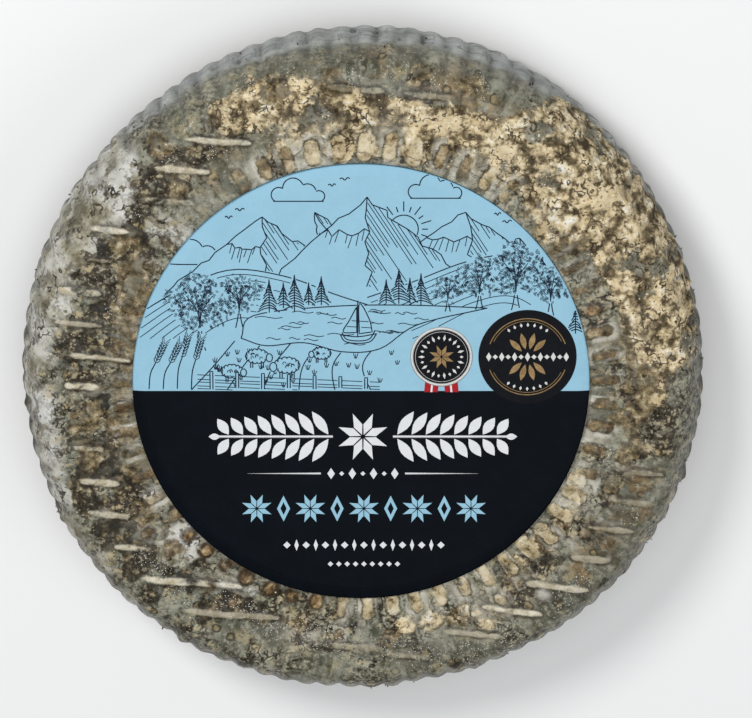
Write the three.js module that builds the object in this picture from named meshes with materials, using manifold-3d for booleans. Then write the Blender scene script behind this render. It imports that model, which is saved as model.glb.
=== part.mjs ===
// A whole blue cheese wheel with a natural, mould-ripened rind, lying flat with its round paper label up.
// Millimetres, +Z up. The origin is the centre of the underside, and +Y is the upper edge of the label.
import * as THREE from "three";
import { ConvexGeometry } from "three/addons/geometries/ConvexGeometry.js";
import { mergeVertices } from "three/addons/utils/BufferGeometryUtils.js";
import Module from "manifold-3d";

const wasm = await Module();
wasm.setup();

// The wheel: a low drum whose side bulges like a barrel
const WHEEL_RADIUS = 110;
const WHEEL_HEIGHT = 46;
const FACE_RADIUS = 98.5; // where each flat face turns over into the side

// Upright ribs that the draining mould leaves round the side
const RIB_COUNT = 93;
const COLUMNS_PER_RIB = 3; // two on the crest and one in the groove
const RIB_DEPTH = 0.9;
const SIDE_BANDS = 7;

// Rings of each face from its rim to its middle: radius, and depth below the plane of the face
const FACE_RINGS = [
  [91, 0],
  [86, 0.6],
  [83.4, 0.8],
  [71.2, 0.8],
  [69.6, 0],
  [0, 0],
];
const FACE_COLUMNS = 60;
const SMOOTH_RADIUS = 84; // outside this radius the face is a little uneven
const MARKS_CENTRE = [1, 1.1]; // the slots and bars lie a little off the wheel's centre

// The ring of radial marks that the mould's slots leave in the sunk ring of each face
const SLOT_COUNT = 60;
const SLOT_FIRST_ANGLE = 0.3; // degrees from +X
const SLOT_INNER_RADIUS = 71.8;
const SLOT_OUTER_RADIUS = 81.6;
const SLOT_WIDTH = 3.6;
const SLOT_RISE = 0.75;

// Short round marks outside them, on the shown face only
const DOT_RADIUS = 86.8;
const DOT_WIDTH = 3;
const DOT_RISE = 0.35;

// Straight bars where the wheel lay on the wires of a rack: X and Y of the middle, length and width
const RACK_BARS = [
  [-46.5, 79.4, 21, 1.5],
  [-58, 70.3, 17.5, 1.9],
  [-63.5, 60.1, 18, 1.6],
  [-81, 50.5, 12.5, 1.6],
  [-84.5, 40.6, 8, 1.3],
  [-91.5, 30.2, 15, 2],
  [-91, 19.3, 15, 1.4],
  [-85.5, 8, 21, 1.5],
  [-90.5, -1.7, 11, 1.9],
  [-88.5, -22.6, 9.5, 1.3],
  [-85, -34, 12.5, 1.6],
  [-82, -44.6, 14, 1.5],
  [-73, -56.2, 14.5, 1.4],
  [-56, -68, 33, 1.8],
  [-43.5, -79.2, 32, 2],
  [-4, -91, 20, 1.6],
  [13.5, -94.6, 15, 1.4],
  [35.5, -86.9, 21, 1.7],
  [47.5, -78.5, 19.5, 1.9],
  [62, -69.7, 20, 1.9],
  [72, -59.8, 13, 1.9],
  [78.5, -49.8, 15, 1.4],
  [85, -40.5, 14, 1.5],
  [90, -30.8, 11, 1.3],
  [-3, 95.4, 17.5, 1.4],
  [20, 93, 16, 1.4],
];
const RACK_ANGLE = -6; // degrees from +X
const BAR_RISE = 0.5;

// Crusty crags that stand out of the side and the shoulders
const CRAG_COUNT = 16;
const CRAG_LENGTH = 5;
const CRAG_WIDTH = 3.5;
const CRAG_RISE = 1.6; // above the bottom of the grooves

const ROOT = 0.4; // how far every mark reaches down into the wheel
const RIDGE_SHARE = 0.8; // length of a mark's ridge beside the straight part of its foot

// Unevenness of the round outline: waves per turn, height and starting angle
const OUTLINE_WAVES = [
  [2, 0.3, 5.71],
  [3, 0.8, 3.08],
  [4, 0.35, 3.18],
  [7, 0.16, 0.69],
  [23, 0.12, 5.2],
];
const SIDE_ROUGHNESS = 0.28;
const FACE_ROUGHNESS = 0.12;

// The label: a thin disc of paper a little off the wheel's centre
const LABEL_RADIUS = 72.7;
const LABEL_THICKNESS = 0.3;
const LABEL_CENTRE = [-0.45, 0.35];
const LABEL_SIDES = 96;
const CLEARANCE = 0.3;

const radians = THREE.MathUtils.degToRad;

// A repeatable stream of random numbers from 0 to 1
function randomStream(seed) {
  let state = seed;
  return () => {
    state = (state * 1664525 + 1013904223) % 4294967296;
    return state / 4294967296;
  };
}

function outlineWave(angle) {
  let sum = 0;
  for (const [perTurn, height, start] of OUTLINE_WAVES) {
    sum += height * Math.sin(perTurn * angle + start);
  }
  return sum;
}

function asSolid(geometry) {
  geometry.deleteAttribute("normal");
  geometry.deleteAttribute("uv");
  const merged = mergeVertices(geometry, 1e-4);
  const vertProperties = merged.attributes.position.array;
  const triVerts = new Uint32Array(merged.index.array);
  return new wasm.Manifold(new wasm.Mesh({ numProp: 3, vertProperties, triVerts }));
}

function asGeometry(solid) {
  const mesh = solid.getMesh();
  const geometry = new THREE.BufferGeometry();
  geometry.setAttribute("position", new THREE.BufferAttribute(mesh.vertProperties, 3));
  geometry.setIndex(new THREE.BufferAttribute(mesh.triVerts, 1));
  geometry.computeVertexNormals();
  return geometry;
}

// The side's rows from the lower face to the upper one
function sideRows() {
  const rows = [];
  for (let band = 0; band <= SIDE_BANDS; band += 1) {
    const turn = Math.PI * (band / SIDE_BANDS - 0.5);
    const bulge = Math.cos(turn);
    rows.push({
      radius: FACE_RADIUS + (WHEEL_RADIUS - FACE_RADIUS) * bulge,
      height: (WHEEL_HEIGHT / 2) * (1 + Math.sin(turn)),
      columns: RIB_COUNT * COLUMNS_PER_RIB,
      ribDepth: RIB_DEPTH * THREE.MathUtils.smoothstep(bulge, 0.1, 0.75),
      wave: 1,
      rough: SIDE_ROUGHNESS * bulge,
      lift: 0,
    });
  }
  return rows;
}

// One face's rows from its rim to its middle; up is 1 on the shown face and -1 on the underside
function faceRows(up) {
  const plane = up > 0 ? WHEEL_HEIGHT : 0;
  return FACE_RINGS.map(([radius, depth]) => ({
    radius,
    height: plane - up * depth,
    columns: radius > 0 ? FACE_COLUMNS : 1,
    ribDepth: 0,
    wave: radius / WHEEL_RADIUS,
    rough: 0,
    lift: radius > SMOOTH_RADIUS ? -up * FACE_ROUGHNESS : 0,
  }));
}

function rowPoints(row, random) {
  const points = [];
  for (let column = 0; column < row.columns; column += 1) {
    const angle = (2 * Math.PI * column) / row.columns;
    const groove = column % COLUMNS_PER_RIB === COLUMNS_PER_RIB - 1 ? row.ribDepth : 0;
    const rough = row.rough * (random() - 0.5) * 2;
    const radius = row.radius > 0 ? row.radius - groove + row.wave * outlineWave(angle) + rough : 0;
    const height = row.height + row.lift * random();
    points.push([radius * Math.cos(angle), radius * Math.sin(angle), height]);
  }
  return points;
}

// Triangles between two rings of points, which may differ in number
function stitch(lower, upper, triangles) {
  let a = 0;
  let b = 0;
  const lowerSteps = lower.count > 1 ? lower.count : 0;
  const upperSteps = upper.count > 1 ? upper.count : 0;
  const lowerPoint = (i) => lower.start + (i % lower.count);
  const upperPoint = (i) => upper.start + (i % upper.count);
  while (a < lowerSteps || b < upperSteps) {
    const lowerNext = a < lowerSteps ? (a + 1) / lower.count : Infinity;
    const upperNext = b < upperSteps ? (b + 1) / upper.count : Infinity;
    if (lowerNext <= upperNext) {
      triangles.push(lowerPoint(a), lowerPoint(a + 1), upperPoint(b));
      a += 1;
    } else {
      triangles.push(lowerPoint(a), upperPoint(b + 1), upperPoint(b));
      b += 1;
    }
  }
}

// The wheel without its raised marks, as one closed surface from the middle of the underside to the top's
function drum() {
  const random = randomStream(41);
  const rows = [...faceRows(-1).reverse(), ...sideRows(), ...faceRows(1)];
  const positions = [];
  const triangles = [];
  let previous = null;
  for (const row of rows) {
    const ring = { start: positions.length / 3, count: row.columns };
    for (const point of rowPoints(row, random)) positions.push(...point);
    if (previous) stitch(previous, ring, triangles);
    previous = ring;
  }
  const geometry = new THREE.BufferGeometry();
  geometry.setAttribute("position", new THREE.Float32BufferAttribute(positions, 3));
  geometry.setIndex(triangles);
  return asSolid(geometry);
}

// How far a face or its shoulder lies below the face's plane, at a radius where the outline has no wave
function faceDepth(radius) {
  if (radius > FACE_RADIUS) {
    const share = Math.min((radius - FACE_RADIUS) / (WHEEL_RADIUS - FACE_RADIUS), 1);
    return (WHEEL_HEIGHT / 2) * (1 - Math.sqrt(1 - share ** 2));
  }
  const outer = FACE_RINGS.findLastIndex(([ring]) => ring >= radius);
  if (outer < 0) return FACE_RINGS[0][1];
  const [outerRadius, outerDepth] = FACE_RINGS[outer];
  const [innerRadius, innerDepth] = FACE_RINGS[Math.min(outer + 1, FACE_RINGS.length - 1)];
  return THREE.MathUtils.mapLinear(radius, innerRadius, outerRadius, innerDepth, outerDepth);
}

// Corners of an oblong mound along X with a ridge, of the given size where it leaves z = 0, and ROOT below it
function moundCorners(length, width, rise) {
  const grow = 1 + ROOT / rise;
  const straight = Math.max(length - width, length * 0.4);
  const corners = [];
  for (const side of [-0.5, 0.5]) {
    corners.push(new THREE.Vector3(side * (straight + (length - straight) * grow), 0, -ROOT));
    corners.push(new THREE.Vector3(side * straight, (width / 2) * grow, -ROOT));
    corners.push(new THREE.Vector3(side * straight, (-width / 2) * grow, -ROOT));
    corners.push(new THREE.Vector3(side * straight * RIDGE_SHARE, 0, rise));
  }
  return corners;
}

// A mound laid on a face at a centre and direction; up is 1 on the shown face and -1 on the underside
function moundOnFace(size, centre, direction, up) {
  const place = new THREE.Object3D();
  place.position.set(centre[0] + MARKS_CENTRE[0], centre[1] + MARKS_CENTRE[1], up > 0 ? WHEEL_HEIGHT : 0);
  place.rotation.set(up > 0 ? 0 : Math.PI, 0, up * direction);
  place.updateMatrix();
  const corners = moundCorners(...size).map((corner) => corner.applyMatrix4(place.matrix));
  for (const corner of corners) {
    const radius = Math.hypot(corner.x, corner.y);
    const wave = outlineWave(Math.atan2(corner.y, corner.x)) * (radius / WHEEL_RADIUS);
    corner.z -= up * faceDepth(radius - wave);
  }
  return asSolid(new ConvexGeometry(corners));
}

// The marks of the mould's slots, each a little different
function slotMarks(up, seed) {
  const random = randomStream(seed);
  const marks = [];
  for (let i = 0; i < SLOT_COUNT; i += 1) {
    const angle = radians(SLOT_FIRST_ANGLE + (360 * i) / SLOT_COUNT + 0.6 * (random() - 0.5));
    const inner = SLOT_INNER_RADIUS + 1.2 * random();
    const outer = SLOT_OUTER_RADIUS - 0.9 * random();
    const width = SLOT_WIDTH * (0.85 + 0.3 * random());
    const rise = SLOT_RISE * (0.75 + 0.25 * random());
    const middle = (inner + outer) / 2;
    const centre = [middle * Math.cos(angle), middle * Math.sin(angle)];
    marks.push(moundOnFace([outer - inner, width, rise], centre, angle, up));
  }
  return marks;
}

// The short round marks outside the slots
function dotMarks() {
  const random = randomStream(77);
  const marks = [];
  for (let i = 0; i < SLOT_COUNT; i += 1) {
    const angle = radians(SLOT_FIRST_ANGLE + (360 * i) / SLOT_COUNT + 0.8 * (random() - 0.5));
    const width = DOT_WIDTH * (0.8 + 0.4 * random());
    const rise = DOT_RISE * (0.7 + 0.3 * random());
    const centre = [DOT_RADIUS * Math.cos(angle), DOT_RADIUS * Math.sin(angle)];
    marks.push(moundOnFace([1.3 * width, width, rise], centre, angle, 1));
  }
  return marks;
}

function rackBars() {
  return RACK_BARS.map(([x, y, length, width]) => {
    return moundOnFace([length, width, BAR_RISE], [x, y], radians(RACK_ANGLE), 1);
  });
}

// Crags scattered over the side, each pointing straight out of the rind
function crags() {
  const random = randomStream(19);
  const bulge = WHEEL_RADIUS - FACE_RADIUS;
  const upright = new THREE.Vector3(0, 0, 1);
  const lumps = [];
  for (let i = 0; i < CRAG_COUNT; i += 1) {
    const angle = (2 * Math.PI * (i + random())) / CRAG_COUNT;
    const turn = radians(-35 + 85 * random());
    const scale = 0.7 + 0.5 * random();
    const radius = FACE_RADIUS + bulge * Math.cos(turn) + outlineWave(angle) - RIB_DEPTH;
    const height = (WHEEL_HEIGHT / 2) * (1 + Math.sin(turn));
    const outward = new THREE.Vector3(Math.cos(turn) / bulge, 0, Math.sin(turn) / (WHEEL_HEIGHT / 2));
    outward.normalize().applyAxisAngle(upright, angle);
    const place = new THREE.Object3D();
    place.position.set(radius * Math.cos(angle), radius * Math.sin(angle), height);
    place.quaternion.setFromUnitVectors(upright, outward);
    place.updateMatrix();
    const corners = moundCorners(CRAG_LENGTH * scale, CRAG_WIDTH * scale, CRAG_RISE * scale);
    lumps.push(asSolid(new ConvexGeometry(corners.map((corner) => corner.applyMatrix4(place.matrix)))));
  }
  return lumps;
}

function cheeseWheel() {
  let solid = drum();
  const marks = [...slotMarks(1, 11), ...slotMarks(-1, 23), ...dotMarks(), ...rackBars(), ...crags()];
  for (const mark of marks) solid = solid.add(mark);
  const material = new THREE.MeshStandardMaterial({ color: 0x8d8775, roughness: 0.6, metalness: 0 });
  const mesh = new THREE.Mesh(asGeometry(solid), material);
  mesh.name = "cheese_wheel";
  return mesh;
}

function paperLabel() {
  const disc = new THREE.CylinderGeometry(LABEL_RADIUS, LABEL_RADIUS, LABEL_THICKNESS, LABEL_SIDES);
  const material = new THREE.MeshStandardMaterial({ color: 0x16202e, roughness: 0.5, metalness: 0 });
  const mesh = new THREE.Mesh(disc.rotateX(Math.PI / 2), material);
  mesh.name = "paper_label";
  mesh.position.set(...LABEL_CENTRE, WHEEL_HEIGHT + CLEARANCE + LABEL_THICKNESS / 2);
  return mesh;
}

// The whole stands on z = 0 with its outline centred on the origin
const cheese = new THREE.Group();
cheese.add(cheeseWheel(), paperLabel());
const outline = new THREE.Box3().setFromObject(cheese);
const middle = outline.getCenter(new THREE.Vector3());
cheese.position.set(-middle.x, -middle.y, -outline.min.z);

export default cheese;
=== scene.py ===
"""A whole blue cheese wheel with a mottled natural rind and a printed paper label, on a pale studio floor."""

import math

import bpy
import numpy as np
from mathutils import Matrix, Vector


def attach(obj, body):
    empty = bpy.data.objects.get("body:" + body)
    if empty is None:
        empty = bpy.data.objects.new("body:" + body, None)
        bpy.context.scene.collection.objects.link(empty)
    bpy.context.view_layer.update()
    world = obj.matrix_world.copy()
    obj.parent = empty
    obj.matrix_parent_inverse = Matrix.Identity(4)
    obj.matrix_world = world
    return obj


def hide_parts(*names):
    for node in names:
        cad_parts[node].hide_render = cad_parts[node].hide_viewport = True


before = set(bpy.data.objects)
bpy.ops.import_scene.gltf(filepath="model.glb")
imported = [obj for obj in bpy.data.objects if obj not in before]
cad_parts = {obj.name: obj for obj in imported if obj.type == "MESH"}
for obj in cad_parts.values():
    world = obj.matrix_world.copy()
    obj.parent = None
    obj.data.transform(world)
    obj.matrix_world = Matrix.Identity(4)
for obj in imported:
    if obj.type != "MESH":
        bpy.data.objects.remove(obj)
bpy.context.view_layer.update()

MM = 0.001

# The wheel's driving sizes in millimetres, as the frame's solid has them
WHEEL_RADIUS = 110.0
WHEEL_HEIGHT = 46.0
FACE_RADIUS = 98.5
BULGE = WHEEL_RADIUS - FACE_RADIUS
RIB_COUNT = 93
RIB_DEPTH = 0.9
FACE_RINGS = [(98.5, 0.0), (91.0, 0.0), (86.0, 0.6), (83.4, 0.8), (71.2, 0.8), (69.6, 0.0), (0.0, 0.0)]
OUTLINE_WAVES = [(2, 0.3, 5.71), (3, 0.8, 3.08), (4, 0.35, 3.18), (7, 0.16, 0.69), (23, 0.12, 5.2)]
MARKS_CENTRE = (1.0, 1.1)

SLOT_COUNT = 60
SLOT_FIRST_ANGLE = 0.3
SLOT_INNER, SLOT_OUTER, SLOT_WIDTH, SLOT_RISE = 71.8, 81.6, 3.6, 0.75
DOT_RADIUS, DOT_WIDTH, DOT_RISE = 86.8, 3.0, 0.35
SPOT_RADIUS, SPOT_WIDTH = 76.6, 3.4
CRAG_COUNT, CRAG_RISE, CRAG_WIDTH = 16, 1.0, 2.0

# Bars that the wires of a rack left: X and Y of the middle, length, width and how clearly each shows
RACK_ANGLE = -6.0
BAR_RISE = 0.4
RACK_BARS = [
    (-46.5, 79.4, 21, 1.5, 1.0), (-58, 70.3, 17.5, 1.9, 1.0), (-63.5, 60.1, 18, 1.6, 0.7),
    (-81, 50.5, 12.5, 1.6, 1.0), (-84.5, 40.6, 8, 1.3, 0.55), (-91.5, 30.2, 15, 2, 1.0),
    (-91, 19.3, 15, 1.4, 0.7), (-85.5, 8, 21, 1.5, 0.9), (-90.5, -1.7, 11, 1.9, 1.0),
    (-88.5, -22.6, 9.5, 1.3, 0.8), (-85, -34, 12.5, 1.6, 0.9), (-82, -44.6, 14, 1.5, 0.8),
    (-73, -56.2, 14.5, 1.4, 0.9), (-56, -68, 33, 1.8, 1.0), (-43.5, -79.2, 32, 2, 0.7),
    (-4, -91, 20, 1.6, 0.55), (13.5, -94.6, 15, 1.4, 0.5), (35.5, -86.9, 21, 1.7, 0.7),
    (47.5, -78.5, 19.5, 1.9, 1.0), (62, -69.7, 20, 1.9, 0.85), (72, -59.8, 13, 1.9, 0.7),
    (78.5, -49.8, 15, 1.4, 0.6), (85, -40.5, 14, 1.5, 0.55), (90, -30.8, 11, 1.3, 0.5),
    (-3, 95.4, 17.5, 1.4, 0.45), (20, 93, 16, 1.4, 0.5),
]

# How finely the rind's surface is divided
COLUMNS = RIB_COUNT * 9

# Where each finish of the rind shows: X, Y and reach in millimetres from the marks' centre
CRUST_PATCHES = [
    (-42, 87, 7), (-32, 90, 8), (-20, 90, 9), (-8, 87, 8), (4, 86, 9), (16, 83, 9), (28, 81, 8),
    (36, 79, 7), (48, 76, 9), (58, 76, 10), (66, 72, 11), (56, 66, 9), (68, 60, 10), (78, 62, 11),
    (86, 54, 9), (80, 47, 9), (90, 45, 8), (62, 52, 8), (84, 38, 8), (94, 35, 8), (97, 25, 9), (88, 26, 8),
    (96, 14, 7), (88, 15, 6), (40, 71, 6), (-24, 78, 5), (-8, 78, 6), (8, 78, 6), (22, 77, 6), (64, 82, 6),
    (90, 6, 6), (92, -4, 5), (101, 12, 5), (100, 24, 5), (97, 34, 6), (92, 45, 6), (85, 56, 6), (77, 67, 6),
    (69, 76, 5), (60, 83, 5), (12, -84, 4), (22, -82, 4), (31, -80, 4), (39, -84, 3), (56, -55, 5),
    (61, -49, 5), (66, -41, 4), (48, -63, 4), (67, -33, 3),
]
PALE_PATCHES = [
    (-84, 66, 9), (-91, 57, 9), (-78, 60, 5), (-77, 70, 6), (-97, 46, 8), (-90, 44, 5), (-101, 34, 8),
    (-105, 22, 7), (-96, 26, 5), (-106, 8, 7), (-105, -6, 6), (-104, -18, 6), (-101, -30, 6), (-97, -40, 5),
    (-80, 54, 4), (-66, 53, 6), (-58, 48, 4), (-62, -52, 6), (-56, -56, 6), (-62, -60, 4), (-47, -67, 6),
    (-38, -71, 4), (-68, -40, 5), (76, 33, 5), (72, -34, 4), (57, -72, 3), (-93, -52, 5), (-84, -62, 5),
    (-88, -66, 4), (-76, -76, 4),
]
DARK_PATCHES = [
    (-70, 65, 7), (-62, 66, 6), (-60, 75, 7), (-50, 75, 6), (-52, 84, 5), (-30, 82, 6), (-24, 84, 4),
    (-70, 56, 5), (-76, 53, 4), (-84, 46, 6), (-83, 37, 5), (-74, 45, 6), (-76, 36, 7), (-86, 25, 7),
    (-93, 14, 6), (-84, 12, 7), (-76, 26, 7), (-70, 40, 6), (-94, 3, 6), (-86, -4, 6), (-86, -19, 7),
    (-79, -22, 6), (-86, -30, 7), (-90, -39, 5), (-79, -40, 7), (-72, -48, 7), (-83, -50, 5), (-68, -58, 6),
    (-56, -63, 5), (-38, -65, 4), (-76, -62, 5), (-70, -69, 5), (-54, -82, 5), (-50, -74, 5), (-28, -73, 5),
    (-40, -75, 5), (-12, -80, 4), (76, 20, 4), (87, -6, 6), (93, -12, 6), (84, -20, 6), (96, -20, 5),
    (92, -28, 6), (80, -36, 5), (74, -52, 6), (86, -46, 4), (46, -74, 5), (56, -64, 6), (44, -80, 4),
    (18, 89, 4), (28, 87, 4), (50, 85, 5), (46, 83, 4), (84, 67, 5), (92, 56, 4), (88, -22, 4),
    (80, -38, 5), (71, -50, 4), (78, -46, 4), (62, -62, 4), (92, -36, 4), (74, -66, 4),
]

# Where the skin is wrinkled into grains with dark lines between them
WRINKLED_PATCHES = [
    (-76, 46, 6), (-73, 34, 7), (-75, 21, 7), (-74, 8, 6), (-76, -4, 6), (-77, -15, 6), (-73, -28, 6),
    (-90, -13, 6), (-89, -25, 5), (-70, -45, 5), (-62, -56, 4), (-60, 62, 5), (-50, 68, 4), (-66, 78, 5),
    (88, 1, 7), (85, -12, 6), (80, 12, 5), (84, -24, 5), (78, -34, 4), (62, 44, 4), (50, -66, 4),
    (8, -88, 4), (-10, 99, 5), (16, 98, 5), (-28, 95, 5), (34, 94, 5),
]

# Where the film over the rind is smooth
FILM_PATCHES = [
    (-40, 68, 6), (-48, 66, 7), (-38, 62, 5), (74, -2, 6), (74, -12, 5), (74, 12, 4), (80, -20, 5),
    (66, 46, 4), (54, 70, 4), (84, 53, 2.5), (-34, 78, 5), (-30, -86, 6), (-45, -84, 6), (26, -90, 6),
    (66, -70, 8), (78, -60, 7), (56, -80, 7), (86, -42, 7), (80, -50, 7), (94, -30, 6), (88, -34, 6),
    (70, -62, 5), (44, 88, 7), (30, 93, 7), (10, 99, 8), (-20, 98, 8), (40, -92, 7), (12, -98, 7),
    (-12, -98, 7), (-58, 84, 7), (-42, 92, 7), (-30, 101, 7), (-4, 104, 7), (22, 103, 7), (42, 96, 7),
    (58, 85, 6),
]

# Where the slots' marks show best, and where they are cream rather than brown
SLOT_PATCHES = [
    (76, 8, 22), (72, -20, 12), (66, -36, 12), (52, -54, 12), (34, -68, 13), (12, -75, 15), (-12, -74, 15),
    (-34, -68, 12), (-50, -58, 12), (-62, -45, 8), (-72, -30, 6), (-76, -10, 8), (-26, 73, 15),
    (-4, 77, 14), (18, 75, 12), (40, 66, 9), (70, 28, 10),
]
SLOT_CREAM_PATCHES = [
    (8, -76, 16), (30, -71, 12), (50, -58, 10), (62, -46, 10), (-10, 77, 12), (10, 77, 10), (40, 66, 8),
]

# Slots whose marks have shrunk to spots in dark rings
SLOT_HALO_PATCHES = [(-56, -54, 10), (-46, -62, 9), (-38, -67, 9), (-28, -72, 9), (-18, -75, 8), (72, 26, 5)]

# Warm brown stains under the film
WARM_PATCHES = [
    (86, -34, 6), (76, -52, 7), (69, -62, 6), (48, -72, 6), (45, 83, 6), (3, 103, 5), (34, 88, 6),
    (-66, -30, 5), (-68, 30, 4), (-44, 78, 6), (88, -12, 6), (92, 8, 5), (26, 96, 6), (-20, -84, 6),
    (92, -44, 5),
]

# Where the film is darker all over
DEEP_PATCHES = [
    (86, -36, 9), (78, -54, 9), (92, -22, 8), (66, -70, 8), (92, -4, 6), (-24, -88, 7), (-40, -80, 6),
    (20, -96, 6),
]

# Where beads of moisture stand close together
BEAD_PATCHES = [
    (-60, -72, 4), (-70, -60, 5), (-66, -64, 4), (-46, -75, 5), (-38, -78, 5), (-30, -84, 6), (-18, -87, 6),
    (-8, -88, 6), (8, -92, 6), (20, -95, 6), (33, -93, 6), (45, -90, 6), (60, -76, 5), (66, -72, 5),
    (70, -66, 4), (85, -45, 4), (-62, 73, 4), (-47, 76, 5), (-56, 84, 4), (-36, 96, 4), (-22, 99, 4),
    (-4, 99, 4), (10, 100, 4), (22, 97, 4), (36, 95, 4), (-80, 24, 4), (-84, 2, 4), (-72, 56, 4),
    (84, 40, 4), (90, 20, 4), (76, -24, 4), (-76, -44, 4),
]

# The printed label, in millimetres from its own centre
LABEL_RADIUS = 72.7
LABEL_CENTRE = (-0.45, 0.35)
LABEL_SIDES = 288
LABEL_THICKNESS = 0.3
LABEL_TOP = 46.45
LABEL_DROOP, DROOP_START = 0.6, 69.0
FIELD_EDGE = -2.1
LARGE_BADGE, SMALL_BADGE = (52.9, 9.3, 15.6), (25.6, 9.3, 9.9)
BADGE_THICKNESS = 0.08
INK_THICKNESS = 0.03
LINE_FLATNESS = 0.15
PEN, FINE_PEN, HAIR_PEN = 0.38, 0.28, 0.22

# The light print on the dark field: middles and levels of its rows
GARLAND_MIDDLE = (0.6, -17.5)
RULE_LEVEL = -30.0
ROWS_MIDDLE = 0.9
STAR_LEVEL, STAR_PITCH = -41.9, 17.2
TALL_MARK_LEVEL, SMALL_MARK_LEVEL = -54.4, -60.9

# The picture: trees as X, Y and crown, spruces as X, Y and height, mountains as left, peak and right
LEAFY_TREES = [
    (-51, 27.5, 9.5), (-38.5, 30, 6.5), (49, 38.5, 8.5), (60, 33.5, 6.5), (37.5, 36, 6.5), (27.5, 32, 4.5),
]
SPRUCES = [
    (-29, 24, 11), (-24.5, 25.5, 8.5), (-21, 24.5, 12), (-16.5, 26.5, 7.5), (-12.5, 26.5, 9.5), (8, 27, 8),
    (12, 27, 11.5), (15.5, 27.5, 8), (19, 26.5, 10.5), (68, 17, 9),
]
MOUNTAINS = [
    ((-30, 34), (2, 62), (30, 38)), ((-62, 30), (-31, 55.5), (-6, 36)), ((8, 38), (33, 57), (60, 36)),
    ((-14, 40), (-14.5, 57), (4, 44)), ((40, 40), (50, 48.5), (68, 30)),
]
HILLS = [
    [(-75, 20), (-60, 30), (-42, 38), (-24, 36), (-8, 30), (4, 26)],
    [(2, 29), (16, 34), (34, 41), (50, 43), (64, 36), (76, 26)],
]
SHORE = [(-38, 15.5), (-30, 13), (-18, 14), (-6, 11), (6, 12), (18, 20), (40, 25.5)]
FAR_SHORE = [(-38, 15.5), (-34, 23), (-10, 26), (14, 26.5), (40, 25.5)]
BOAT = (-1, 15)
BARLEY = [-67.5, -63, -58.5, -54]
SHEEP = [(-33, 9.5, 3.4, 1), (-23.5, 6.5, 3.8, -1), (-41, 4.5, 3.2, 1), (-12.5, 10.5, 2.8, -1)]
CLOUD_PUFFS = [(-0.2, 0.3, 0.55), (0.55, 0.1, 0.45), (-0.95, -0.05, 0.4), (1.15, -0.12, 0.3)]
CLOUDS = [(-52, 42.5, 6.5), (-20, 63, 6), (23, 64, 6)]
BIRDS = [(-5, 67.5, 1.6), (-9, 65.5, 1.2), (-38, 57.5, 1.5), (-41.5, 55, 1.2), (46, 53.5, 1.5), (43, 56, 1.1)]
SUN = (13.5, 51.5, 4.6)

# The photograph's viewpoint
VIEW_TILT = 17.95
VIEW_TURN = 90.0
VIEW_DISTANCE = 1.4
VIEW_WIDTH = 0.24318
AIM = (0.00434, 0.0012, 0.0226)
SENSOR = 36.0
LIGHT_LEVEL = 1.12

# Tones as they look on a screen, from dark to light
SKIN_TONES = [(80, 82, 68), (118, 119, 103), (138, 139, 123), (153, 153, 136), (168, 167, 150)]
WALL_TONES = [(124, 128, 128), (158, 162, 162), (176, 180, 179), (194, 197, 196)]
MILK_TONES = [(104, 97, 74), (162, 157, 136), (200, 198, 187), (218, 217, 210), (226, 227, 222)]
MOULD_FILM_TONES = [(96, 92, 76), (128, 124, 106), (158, 154, 136)]
WRINKLE_TONES = [(38, 30, 18), (76, 64, 43), (116, 100, 71), (158, 141, 107), (206, 194, 164)]
CRUST_FILM_TONES = [(76, 76, 65), (104, 104, 92), (130, 129, 115), (158, 155, 140)]
SLOT_FILM_TONES = [(104, 102, 88), (158, 154, 138), (196, 191, 174), (214, 210, 198)]
BROWN_SLOT_TONES = [(44, 34, 20), (88, 71, 46), (138, 118, 84), (196, 179, 144)]
CREAM_SLOT_TONES = [(96, 78, 50), (190, 172, 134), (220, 205, 171), (232, 223, 199)]
SPOT_TONES = [(70, 52, 32), (122, 96, 62), (168, 142, 102), (204, 184, 146)]
# The side's lower band, away from the wall: dark tones of painted shade
UNDER_SHADE_TONES = [(36, 35, 26), (60, 59, 47), (84, 83, 70), (110, 109, 96)]
CRUMB_TONES = [(92, 76, 48), (156, 136, 98), (212, 192, 152), (240, 228, 198)]

# Tones from the gaps between lumps up to their tops, each with its level: the lumps' own browns and creams,
# with painted shade in the gaps and painted highlight on the tops
MOULD_SHADED_LEVELS = [
    (0.36, (14, 10, 5)), (0.47, (38, 31, 20)), (0.55, (70, 60, 42)),
    (0.63, (124, 110, 82)), (0.74, (186, 170, 134)),
]
CRUST_SHADED_LEVELS = [
    (0.32, (70, 60, 42)), (0.4, (112, 98, 73)), (0.465, (156, 140, 110)),
    (0.53, (206, 188, 150)), (0.6, (237, 221, 184)), (0.69, (250, 245, 232)),
]

# What is printed: each ink's colour and its darker shade
INKS = {
    "print_navy": ((33, 46, 66), (27, 38, 55)),
    "print_white": ((232, 234, 236), (224, 227, 230)),
    "print_blue": ((156, 201, 222), (150, 195, 216)),
    "ribbon_red": ((178, 38, 46), (158, 32, 40)),
    "badge_gold": ((168, 140, 98), (138, 112, 76)),
    "badge_white": ((226, 226, 222), (212, 212, 208)),
}

# Strewn shapes: how many to a square metre at most, smallest and largest size, and whether they tumble
BEADS = (800000.0, 0.07, 0.2, False)
CRUMBS = (190000.0, 0.16, 0.5, True)
TUFTS = (42000.0, 0.35, 0.9, False)


def seen(red, green, blue):
    """The shader colour of what should look like this on a screen, from 0 to 255, in the studio's light."""
    def channel(value):
        value /= 255
        return (value / 12.92 if value <= 0.04045 else ((value + 0.055) / 1.055) ** 2.4) / LIGHT_LEVEL

    return (channel(red), channel(green), channel(blue), 1.0)


class Stream:
    """The same repeatable random numbers that place the marks of the frame's solid."""

    def __init__(self, seed):
        self.state = seed

    def __call__(self):
        self.state = (self.state * 1664525 + 1013904223) % 4294967296
        return self.state / 4294967296


# Modelling helpers


def deselect_all():
    for other in bpy.context.selected_objects:
        other.select_set(False)


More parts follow.
